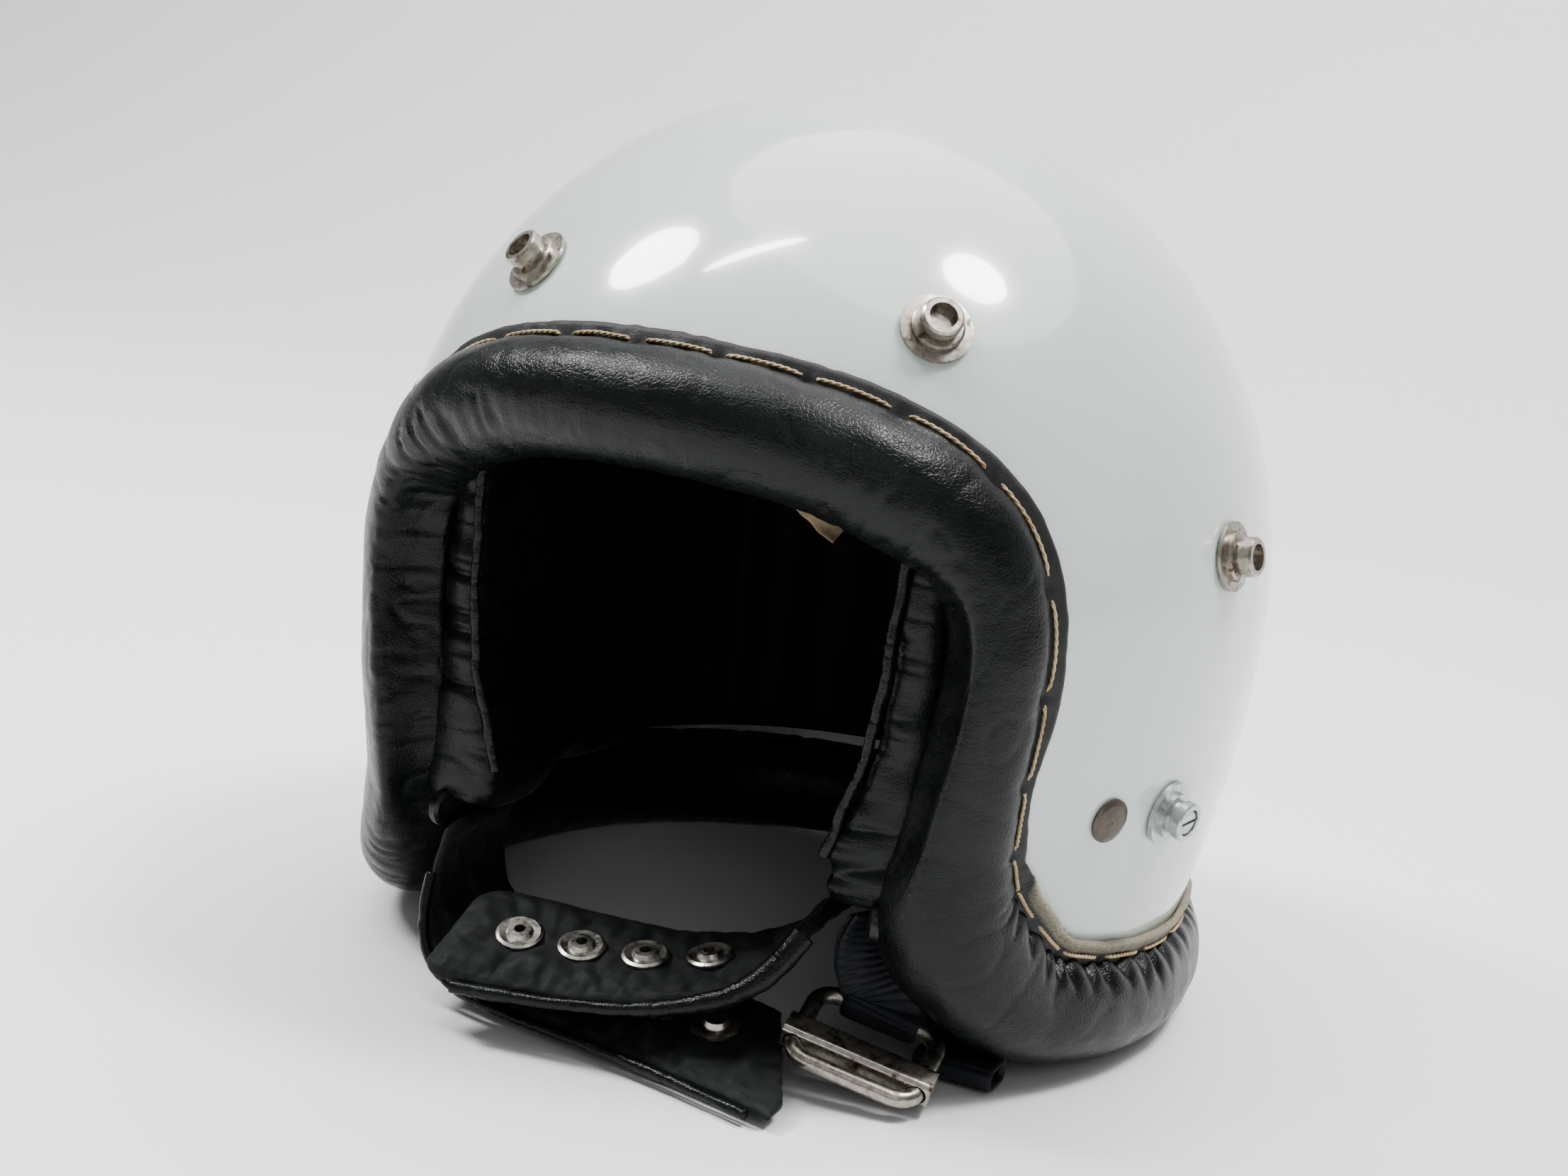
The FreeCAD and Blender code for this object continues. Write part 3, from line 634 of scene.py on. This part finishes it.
make_roll()
make_fuzz(*make_flange())
make_stitches()

# ---------------------------------------------------------------- cloth that buckles
SIM_SCALE = 10.0        # the cloth is simulated ten times larger, where the solver is at its best
SIM_FRAMES = 16


def crumple(points, faces, held, swell, cap, push, seed):
    """The points after cloth that was cut a little too large has buckled between where it is held."""
    rest = np.asarray(points, float).reshape(-1, 3)
    start = rest + field(rest, 4.0, seed)[:, None] * 0.12 * (1 - held[:, None])
    mesh = bpy.data.meshes.new("cloth")
    mesh.from_pydata((start * MM * SIM_SCALE).tolist(), [], faces)
    obj = bpy.data.objects.new("cloth", mesh)
    bpy.context.scene.collection.objects.link(obj)
    group = obj.vertex_groups.new(name="held")
    for i in np.nonzero(held > 0.01)[0]:
        group.add([int(i)], float(held[i]), "REPLACE")
    mod = obj.modifiers.new("cloth", "CLOTH")
    s = mod.settings
    s.quality = 7
    s.mass = 0.3
    s.tension_stiffness = s.compression_stiffness = 25
    s.shear_stiffness = 12
    s.bending_stiffness = 0.35
    s.air_damping = 4
    s.vertex_group_mass = "held"
    s.shrink_min = s.shrink_max = -swell
    s.use_pressure = True
    s.uniform_pressure_force = push
    s.effector_weights.gravity = 0
    mod.collision_settings.use_collision = False
    scene = bpy.context.scene
    for f in range(1, SIM_FRAMES + 1):
        scene.frame_set(f)
    done = obj.evaluated_get(bpy.context.evaluated_depsgraph_get()).data
    co = np.zeros(len(rest) * 3)
    done.vertices.foreach_get("co", co)
    scene.frame_set(1)
    bpy.data.objects.remove(obj)
    moved = co.reshape(-1, 3) / MM / SIM_SCALE - rest
    far = np.linalg.norm(moved, axis=1, keepdims=True)
    return rest + moved * np.minimum(1, cap / np.maximum(far, 1e-6))


def subdivide(obj):
    mod = obj.modifiers.new("smooth", "SUBSURF")
    mod.levels = mod.render_levels = 1
    bpy.context.view_layer.objects.active = obj
    bpy.ops.object.select_all(action="DESELECT")
    obj.select_set(True)
    bpy.ops.object.modifier_apply(modifier="smooth")


# ---------------------------------------------------------------- chin flaps
LEFT_ROWS = [((47.0, -72, 42.8), 8, 16.5), ((43.6, -76, 36.6), 10, 17.5), ((37.5, -81, 30.5), 12, 18),
             ((27, -86.5, 25.6), 13, 18), ((11, -92.5, 22.4), 15, 18), ((-10, -97.5, 21.4), 19, 18),
             ((-30, -101.5, 21.6), 23, 18), ((-38, -103, 21.8), 24, 17.6), ((-42.5, -103.6, 21.9), 24.5, 16),
             ((-45, -104, 22.0), 25, 13)]
RIGHT_ROWS = [((-56, -76, 44.6), 4, 16.5), ((-56.8, -77, 36), 5, 18), ((-56.4, -79, 27), 7, 19),
              ((-53.5, -81, 18.5), 10, 20), ((-45, -83.5, 12.6), 13, 20), ((-28, -86.5, 10.6), 15, 20),
              ((0, -89.5, 10.0), 15, 20), ((28, -94, 9.0), 14, 20), ((44, -97.5, 7.6), 11, 20),
              ((56, -100.5, 6.2), 8, 19.5)]
FLAP_T = 5.0
PIPING_SIDES = 20
FLAP_ACROSS = 34        # points across a flap
SNAP_R = 6.3            # the cloth lies flat round a snap out to here


class Flap:
    """Smooth grid of a chin flap: u runs from root to free end, v from the rear edge to the front."""

    def __init__(self, rows, nu, nv):
        data = np.array([[*c, slope, half] for c, slope, half in rows], float)
        fine = resample(cubic(data, 600), nu)
        self.mid, slope, self.half = fine[:, :3], np.radians(fine[:, 3]), fine[:, 4]
        self.wide = np.stack([slope * 0, -np.cos(slope), -np.sin(slope)], 1)
        t = unit(np.gradient(self.mid, axis=0))
        self.up = unit(np.cross(self.wide, t))
        if self.up[len(self.up) // 2, 2] < 0:
            self.up = -self.up
        self.v = np.linspace(-1, 1, nv)
        self.run = np.concatenate([[0], np.cumsum(np.linalg.norm(np.diff(self.mid, axis=0), axis=1))])
        self.flat = self.mid[:, None] + self.wide[:, None] * (self.half[:, None] * self.v)[..., None]

    def faces_at(self, top, bottom):
        """The closed form with those heights above and below the flap's middle."""
        u = self.up[:, None]
        return two_sided(self.flat + u * top[..., None], self.flat + u * bottom[..., None])


def snap_places(node):
    """Middles of a snap node's separate solids, from its mesh."""
    co = np.array([v.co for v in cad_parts[node].data.vertices]) / MM
    order = np.argsort(co[:, 0])
    splits = np.nonzero(np.diff(co[order, 0]) > 1.0)[0] + 1
    return [(part.min(0) + part.max(0)) / 2 for part in np.split(co[order], splits)]


def make_flap(name, rows, body, node, nu, cut=None):
    flap = Flap(rows, nu, FLAP_ACROSS)
    nv = FLAP_ACROSS
    v = np.abs(flap.v)[None]
    end = np.minimum(1, (flap.run[-1] - flap.run)[:, None] / 7)
    pillow = np.clip(1 - v ** 5, 0, 1) ** 0.6 * np.sqrt(np.clip(1 - (1 - end) ** 2, 0.02, 1))
    top = 0.75 + (FLAP_T / 2 - 0.85) * pillow
    points, faces = flap.faces_at(top, -top)
    grid = flap.flat.reshape(-1, 3)
    near = np.full(len(grid), 1e9)
    for place in snap_places(node + "_snaps"):
        near = np.minimum(near, np.linalg.norm(grid - place, axis=1))
    row = np.repeat(np.arange(nu), nv)
    fixed = (near < SNAP_R) | (np.broadcast_to(v, (nu, nv)).ravel() > 0.93) | (row < 2) | (row > nu - 3)
    held = np.concatenate([fixed, fixed]).astype(float)
    points = crumple(points, faces, held, swell=0.055, cap=2.0, push=0.6, seed=len(name))
    # pucker of the seam along the front edge
    both = np.concatenate([grid, grid])
    run_at = np.tile(np.repeat(flap.run, nv), 2)
    edge_gap = np.tile((flap.half[:, None] * (1 - flap.v)[None]).ravel(), 2)
    up = np.tile(np.repeat(flap.up, nv, 0), (2, 1)) * np.repeat([1, -1], len(grid))[:, None]
    where = np.stack([run_at, edge_gap * 0.25, run_at * 0], 1)
    pucker = ridges(where, 3.6, 3, 2.0) * np.exp(-((edge_gap - 4.5) / 4.5) ** 2)
    groove = np.exp(-((edge_gap - 3.6) / 0.9) ** 2)
    loose = smooth(np.concatenate([near, near]), 6.2, 9.0)
    long_fold = ridges(both * (0.45, 1.2, 1.0), 13.0, len(name), 3.0) * smooth(edge_gap, 5, 10)
    points = points - up * ((0.75 * pucker + 0.45 * groove + 0.7 * long_fold) * loose)[:, None]
    points = points + up * (0.35 * field(both, 7.0, 8) * loose)[:, None]
    if cut:
        gone = cut(both)
        faces = [f for f in faces if not all(gone[i] for i in f)]
    obj = piece(name, points, faces, body, FLAP_CLOTH, [node])
    if cut:
        close_rim(obj)
    subdivide(obj)
    return flap


def close_rim(obj):
    """Sew up the open border that a cut leaves."""
    bpy.context.view_layer.objects.active = obj
    bpy.ops.object.mode_set(mode="EDIT")
    bpy.ops.mesh.select_all(action="DESELECT")
    bpy.ops.mesh.select_mode(type="EDGE")
    bpy.ops.mesh.select_non_manifold(extend=False, use_wire=False, use_multi_face=False, use_verts=False)
    bpy.ops.mesh.fill()
    bpy.ops.mesh.select_all(action="SELECT")
    bpy.ops.mesh.normals_make_consistent(inside=False)
    bpy.ops.mesh.select_mode(type="VERT")
    bpy.ops.object.mode_set(mode="OBJECT")


def make_piping(name, flap, first, last, radius, body, node):
    """Bound leather edge along a flap's front, with small creases."""
    line = flap.mid + flap.wide * (flap.half + 1.9)[:, None]
    line = resample(cubic(line[first:last:6], 400), 260)
    points, faces = tube_of(line, radius(np.linspace(0, 1, len(line))), PIPING_SIDES)
    flat_at = points * (1, 0.4, 0.4)
    ray = unit(points - np.repeat(line, PIPING_SIDES, 0))
    points = points - ray * (0.28 * ridges(flat_at, 4.0, 7, 2.2) - 0.12 * field(points, 6.0, 2))[:, None]
    piece(name, points, faces, body, GLOSSY, [node])


left = make_flap("chin_flap_cloth_left", LEFT_ROWS, "left_flap", "chin_flap_left", 96)


def past_heel(p):
    """Where the right flap is cut off beside the buckle: left of a line in plan."""
    (ax, ay), (bx, by) = (33.0, -68.0), (52.0, -106.0)
    return (bx - ax) * (p[:, 1] - ay) - (by - ay) * (p[:, 0] - ax) > 0


right = make_flap("chin_flap_cloth_right", RIGHT_ROWS, "right_flap", "chin_flap_right", 110, past_heel)
make_piping("chin_piping_left", left, 0, 90, lambda t: 3.3 - 1.5 * smooth(t, 0.05, 0.6), "left_flap",
            "chin_flap_left_piping")
make_piping("chin_piping_right", right, 8, 106, lambda t: 1.5 + 0 * t, "right_flap", "chin_flap_right_piping")

# ---------------------------------------------------------------- lining and pads
INSIDE = -21.7          # inner face of the impact liner, from the shell's surface
ON_LINER = INSIDE - 0.4
BINDING_SIDES = 16
BROW_HALF = 64          # half the brow band's width
CROWN_R = 85            # from the middle of the crown lining to its rim, along the curve
NECK_HALF, NECK_LOW, NECK_HIGH = 77, 40, 119
TAPE_WIDE, TAPE_POINTS = 10.0, 60


def make_cheek(side):
    """Gathered cheek curtain over its pad. Side is 1 on the wearer's left."""
    levels, around = 150, 120
    z = np.linspace(47.5, 145, levels)
    inner = np.interp(z, (47, 60, 68, 82, 100, 120, 145), (47.5, 47.8, 50, 54.5, 57.6, 58.5, 59.5))
    rings = []
    for x0 in inner:
        ring = np.array([(x0, -82.5), (x0 + 1.5, -85.8), (x0 + 5, -86.4), (70, -82), (69, -66), (74, -52),
                         (84, -24), (86, 16), (78, 23), (60, 23), (56, 16), (56, -20), (x0, -62)])
        loop = cubic(np.vstack([ring, ring, ring]), 3 * 240)[240:480]
        rings.append(resample(loop, around, closed=True))
    plan = np.array(rings)
    mid = plan.mean(1, keepdims=True)
    end = np.minimum(z - z[0], z[-1] - z) / 9
    pull_in = (1 - np.sqrt(np.clip(1 - (1 - np.minimum(end, 1)) ** 2, 0, 1)))[:, None, None] * 7
    plan = plan - unit(plan - mid) * pull_in
    p = np.concatenate([plan, np.broadcast_to(z[:, None, None], (levels, around, 1))], -1)
    ray = np.concatenate([unit(plan - mid), np.zeros((levels, around, 1))], -1)
    front = smooth(p[..., 1], -45, -78)
    where = np.stack([p[..., 2], p[..., 0] * 0.22 + p[..., 1] * 0.15, p[..., 2] * 0], -1)
    push = -(0.5 + 1.7 * front) * ridges(where, 7.5, 4 + side, 1.7)
    push += 1.1 * front * field(where, 11.0, 2) - 0.5 * front * ridges(where, 3.2, 9, 2.0)
    push += 0.6 * field(p, 20.0, 3)
    p = p + ray * push[..., None]
    p[..., 2] += 0.8 * front * field(where + 5, 8.0, 6)
    p[..., 0] *= side
    faces = capped_faces(levels, around)
    name = "left" if side > 0 else "right"
    obj = piece("cheek_curtain_" + name, p, faces, "helmet", LEATHER, ["cheek_pad_" + name])


def make_binding(side):
    """Leather binding on the curtain's front edge."""
    line = cubic([(59.5, -86.6, 142), (58.5, -86.8, 120), (57.6, -86.8, 100), (54.5, -86.2, 82),
                  (50, -85.4, 68), (47.5, -85.0, 60)], 240)
    line = line + np.stack([0.7 * field(line, 7.0, 5), 0.5 * field(line, 5.0, 6), line[:, 0] * 0], 1)
    line = line * (side, 1, 1)
    points, faces = tube_of(line, 1.5 + 0.25 * field(line, 5.0, 2), BINDING_SIDES, lift=(0, 1, 0))
    ray = unit(points - np.repeat(line, BINDING_SIDES, 0))
    points = points - ray * (0.3 * ridges(points, 3.0, 4, 2.0))[:, None]
    name = "left" if side > 0 else "right"
    piece("curtain_binding_" + name, points, faces, "helmet", GLOSSY,
          ["cheek_binding_" + name])


def make_brow():
    """Padded brow band just behind the roll."""
    pick = np.nonzero((centre[:, 2] > 148) & (np.abs(centre[:, 0]) < BROW_HALF))[0]
    n, around = len(pick), 64
    turn = np.linspace(0, 2 * math.pi, around, endpoint=False)
    x = centre[pick][:, 0]
    end = np.clip((BROW_HALF - np.abs(x)) / 16, 0, 1)
    size = np.sqrt(np.clip(1 - (1 - end) ** 2, 0.004, 1))[:, None]
    body = centre[pick] - out[pick] * 20.5 + away[pick] * 8
    c, s = np.cos(turn)[None], np.sin(turn)[None]
    c, s = np.sign(c) * np.abs(c) ** 0.8, np.sign(s) * np.abs(s) ** 0.8
    p = body[:, None] + out[pick][:, None] * (c * 5.6 * size)[..., None] \
        + away[pick][:, None] * (s * 15 * size)[..., None]
    ray = unit(p - body[:, None])
    push = 0.5 * field(p, 18.0, 5) - 0.35 * ridges(p * (1, 0.5, 0.5), 6.0, 3, 3.0)
    p = p + ray * push[..., None]
    obj = piece("brow_band", p, capped_faces(n, around), "helmet", LEATHER, ["brow_pad"])


def make_crown():
    """Quilted crown: eight panels between seams, bound at its rim."""
    n = 110
    u, v = np.meshgrid(np.linspace(-1, 1, n), np.linspace(-1, 1, n), indexing="ij")
    a, b = u * np.sqrt(1 - v * v / 2), v * np.sqrt(1 - u * u / 2)
    r = np.hypot(a, b)
    tilt = r * 0.86
    phi = np.arctan2(b, a)
    direction = np.stack([np.sin(tilt) * np.cos(phi), np.sin(tilt) * np.sin(phi), np.cos(tilt)], -1)
    base = np.array([0, CENTRE_Y, LEVEL]) + direction * 100
    skin = seat(base, ON_LINER, 8)
    normal = unit(slope_of(skin, INSIDE))
    seam = np.abs((phi / (math.pi / 4) + 0.5) % 1 - 0.5) * r * math.pi / 4 * CROWN_R
    ring = np.abs(r * CROWN_R - 46)
    quilt = (1 - np.exp(-(seam / 3.5) ** 2)) * (1 - 0.8 * np.exp(-(ring / 3.0) ** 2))
    rim = np.sqrt(np.clip(1 - np.clip((r - 0.93) / 0.07, 0, 1) ** 2, 0, 1))
    thick = (1.2 + 3.6 * quilt + 0.5 * field(skin, 9.0, 3) * quilt) * (0.25 + 0.75 * rim)
    points, faces = two_sided(skin, skin - normal * thick[..., None])
    obj = piece("crown_quilt", points, faces, "helmet", LINING_CLOTH, ["crown_lining"])


def make_neck():
    """Neck band with upright channels."""
    nu, nv = 190, 64
    x, z = np.meshgrid(np.linspace(-NECK_HALF, NECK_HALF, nu), np.linspace(NECK_LOW, NECK_HIGH, nv),
                       indexing="ij")
    skin = seat(np.stack([x, 0 * x + 95, z], -1), ON_LINER, 8)
    skin[..., 2] = z
    normal = unit(slope_of(skin, INSIDE))
    channel = np.abs(np.sin(math.pi * x / 19.3)) ** 0.5
    edge = np.minimum((NECK_HALF - np.abs(x)) / 7, np.minimum(z - NECK_LOW, NECK_HIGH - z) / 7)
    edge = np.sqrt(np.clip(1 - (1 - np.clip(edge, 0, 1)) ** 2, 0.01, 1))
    thick = (4.5 + 6.0 * channel + 0.7 * field(skin, 11.0, 6)) * edge + 0.6
    points, faces = two_sided(skin, skin - normal * thick[..., None])
    obj = piece("neck_band", points, faces, "helmet", LINING_CLOTH, ["neck_pad"])


def make_tape():
    """Loose end of the sizing tape."""
    line = cubic([(24, -77, 152), (27, -75.8, 148), (30, -74.0, 144.5), (33, -72, 142), (36, -70.5, 139.5)],
                 TAPE_POINTS)
    curl = np.linspace(0, 0.5, TAPE_POINTS)[:, None]
    wide = unit(np.array([(0.85, 0.2, -0.5)]) + curl * np.array([(0, 0.8, 0.2)]))
    t = unit(np.gradient(line, axis=0))
    wide = unit(wide - t * (wide * t).sum(-1, keepdims=True))
    face = np.cross(t, wide)
    across = np.linspace(-TAPE_WIDE / 2, TAPE_WIDE / 2, 14)
    grid = line[:, None] + wide[:, None] * across[None, :, None] + face[:, None] \
        * (0.25 * np.cos(across * 1.1))[None, :, None]
    points, faces = two_sided(grid + face[:, None] * 0.3, grid - face[:, None] * 0.3)
    obj = piece("sizing_tape", points, faces, "helmet", TAPE, ["sizing_ribbon"])


for side in (1, -1):
    make_cheek(side)
    make_binding(side)
make_brow()
make_crown()
make_neck()
make_tape()

# ---------------------------------------------------------------- strap
RIB = 1.9               # pitch of the webbing's cross ribs
WEB_T = 1.7             # the webbing's thickness


def webbing(line, wide, half):
    """Closed ribbed strip along a line; wide is the width direction at each point."""
    run_at = np.concatenate([[0], np.cumsum(np.linalg.norm(np.diff(line, axis=0), axis=1))])
    length = run_at[-1]
    n = int(length / 0.24)
    want = np.linspace(0, length, n)
    wide = np.stack([np.interp(want, run_at, wide[:, k]) for k in range(3)], 1)
    half = np.interp(want, run_at, half)
    line = resample(line, n)
    t = unit(np.gradient(line, axis=0))
    wide = unit(wide - t * (wide * t).sum(-1, keepdims=True))
    face = np.cross(wide, t)
    s = np.linspace(0, length, n)
    across = np.linspace(-1, 1, 29)
    rib = 0.30 * np.abs(np.sin(math.pi * s / RIB))[:, None] * smooth(1 - np.abs(across), 0.0, 0.12)[None]
    weave = 0.06 * np.sin(across * 34)[None] * np.cos(math.pi * s / RIB * 2)[:, None]
    body = np.sqrt(np.clip(1 - np.abs(across) ** 12, 0.06, 1))[None]
    height = (WEB_T / 2 - 0.28) * body + rib + weave
    flat = line[:, None] + wide[:, None] * (half[:, None] * across)[..., None]
    return two_sided(flat + face[:, None] * height[..., None], flat - face[:, None] * height[..., None])


# the ring's own directions: along its rear leg, from the rear leg to the front one, and square to both
E1 = unit((0.963, 0.170, -0.208))
E2 = np.array((0.174, -0.985, -0.33))
E2 = unit(E2 - E1 * (E2 @ E1))
UP = -np.cross(E1, E2)
REAR = np.array((62.6, -68.4, 16.6))    # middle of the rear leg
WRAP_R = 3.6
STRAP_HALF = 10.4 - 0.1     # half the webbing's width, with a little play in the ring
TAIL_HALF = 11.0


def make_strap():
    """Webbing that comes down, turns round the ring's rear leg and goes back up behind itself."""
    turn = np.radians(np.linspace(78, -258, 40))
    loop = REAR + WRAP_R * (np.cos(turn)[:, None] * -E2 + np.sin(turn)[:, None] * UP)
    rise = np.array([(62.5, -68.4, 22.2), (60.2, -67.9, 26), (57.5, -67.2, 31.5), (56.2, -66, 42.4)])
    widths = np.array([(0.94, 0.28, -0.17), (0.90, 0.38, -0.15), (0.68, 0.73, -0.08), (0.22, 0.97, 0.0)])
    behind = unit(np.cross(widths, (0.0, 0.0, 1.0)))
    behind *= np.sign(behind @ np.array((-0.7, 0.7, 0.0)))[:, None]
    front_leg = (rise - behind * 0.9)[::-1]
    back_leg = rise + behind * 0.9
    line = np.vstack([front_leg, loop[::-6], back_leg])
    line = resample(cubic(line, 900), 300)
    wide = unit(np.stack([np.interp(line[:, 2], (24, 28, 33, 42), (a, b, c, d))
                          for a, b, c, d in zip(E1, *widths[1:])], 1))
    half = np.full(len(line), STRAP_HALF)
    points, faces = webbing(line, wide, half)
    piece("ribbed_strap", points, faces, "strap", WEBBING, ["strap_webbing"])


def make_tail():
    """Slack loop of the same webbing beside the buckle."""
    turn = np.radians(np.linspace(60, 400, 50))
    y = -57.5 + 3.0 * np.sign(np.cos(turn)) * smooth(np.abs(np.cos(turn)), 0, 0.3) + 2.7 * np.cos(turn)
    loop = np.stack([81.5 + 0 * turn, y, 4.4 + 2.7 * np.sin(turn)], 1)
    rise = cubic([(81.0, -51.8, 5.6), (79.5, -50.5, 12), (76, -48, 22), (68, -42, 46.5)], 60)
    line = resample(np.vstack([loop[:-4], rise]), 260)
    line = resample(cubic(line[::5], 600), 260)
    wide = np.broadcast_to(np.array((1.0, 0.0, 0.0)), line.shape)
    half = np.full(len(line), TAIL_HALF)
    points, faces = webbing(line, wide, half)
    piece("slack_loop", points, faces, "helmet", WEBBING, ["strap_tail"])


make_strap()
make_tail()

# ---------------------------------------------------------------- floor and light


def plain_floor():
    """Pale sweep that rises behind the object."""
    look = Look("floor", (0.80, 0.80, 0.81), 0.55)
    look.drive("Base Color", look.blend(look.noise(0.35, 2.0), (0.79, 0.79, 0.80), (0.82, 0.82, 0.825)))
    xs = np.linspace(-3, 3, 40)
    profile = [(-2.5, 0), (0.9, 0)]
    profile += [(0.9 + 0.9 * math.sin(t), 0.9 - 0.9 * math.cos(t)) for t in np.linspace(0.1, math.pi / 2, 14)]
    profile.append((1.8, 3.2))
    points = np.array([[(x, y, z) for y, z in profile] for x in xs])
    mesh = bpy.data.meshes.new("floor")
    mesh.from_pydata(points.reshape(-1, 3).tolist(), [], grid_faces(len(xs), len(profile)))
    mesh.shade_smooth()
    mesh.materials.append(look.material)
    floor = bpy.data.objects.new("floor", mesh)
    bpy.context.scene.collection.objects.link(floor)


def area_light(name, place, target, width, height, watts):
    data = bpy.data.lights.new(name, "AREA")
    data.shape = "ELLIPSE"
    data.size, data.size_y = width, height
    data.energy = watts
    light = bpy.data.objects.new(name, data)
    light.location = place
    light.rotation_euler = (Vector(target) - Vector(place)).to_track_quat("-Z", "Y").to_euler()
    bpy.context.scene.collection.objects.link(light)


plain_floor()
middle = (0.0, 0.0, 0.12)
area_light("window", (-1.05, -0.24, 1.41), (-0.02, -0.085, 0.20), 0.42, 0.52, 34)
area_light("tube", (-0.50, -0.36, 1.69), (0.007, -0.083, 0.20), 0.07, 0.62, 9)
area_light("side_window", (0.66, 0.13, 1.68), (0.058, -0.061, 0.205), 0.36, 0.40, 30)
area_light("ceiling", (0.2, 0.5, 2.5), middle, 3.4, 2.8, 92)
area_light("front_fill", (1.3, -2.4, 1.6), middle, 1.6, 1.2, 8)
world = bpy.data.worlds.new("soft")
world.use_nodes = True
world.node_tree.nodes["Background"].inputs["Color"].default_value = (0.95, 0.97, 0.98, 1)
world.node_tree.nodes["Background"].inputs["Strength"].default_value = 0.30
bpy.context.scene.world = world
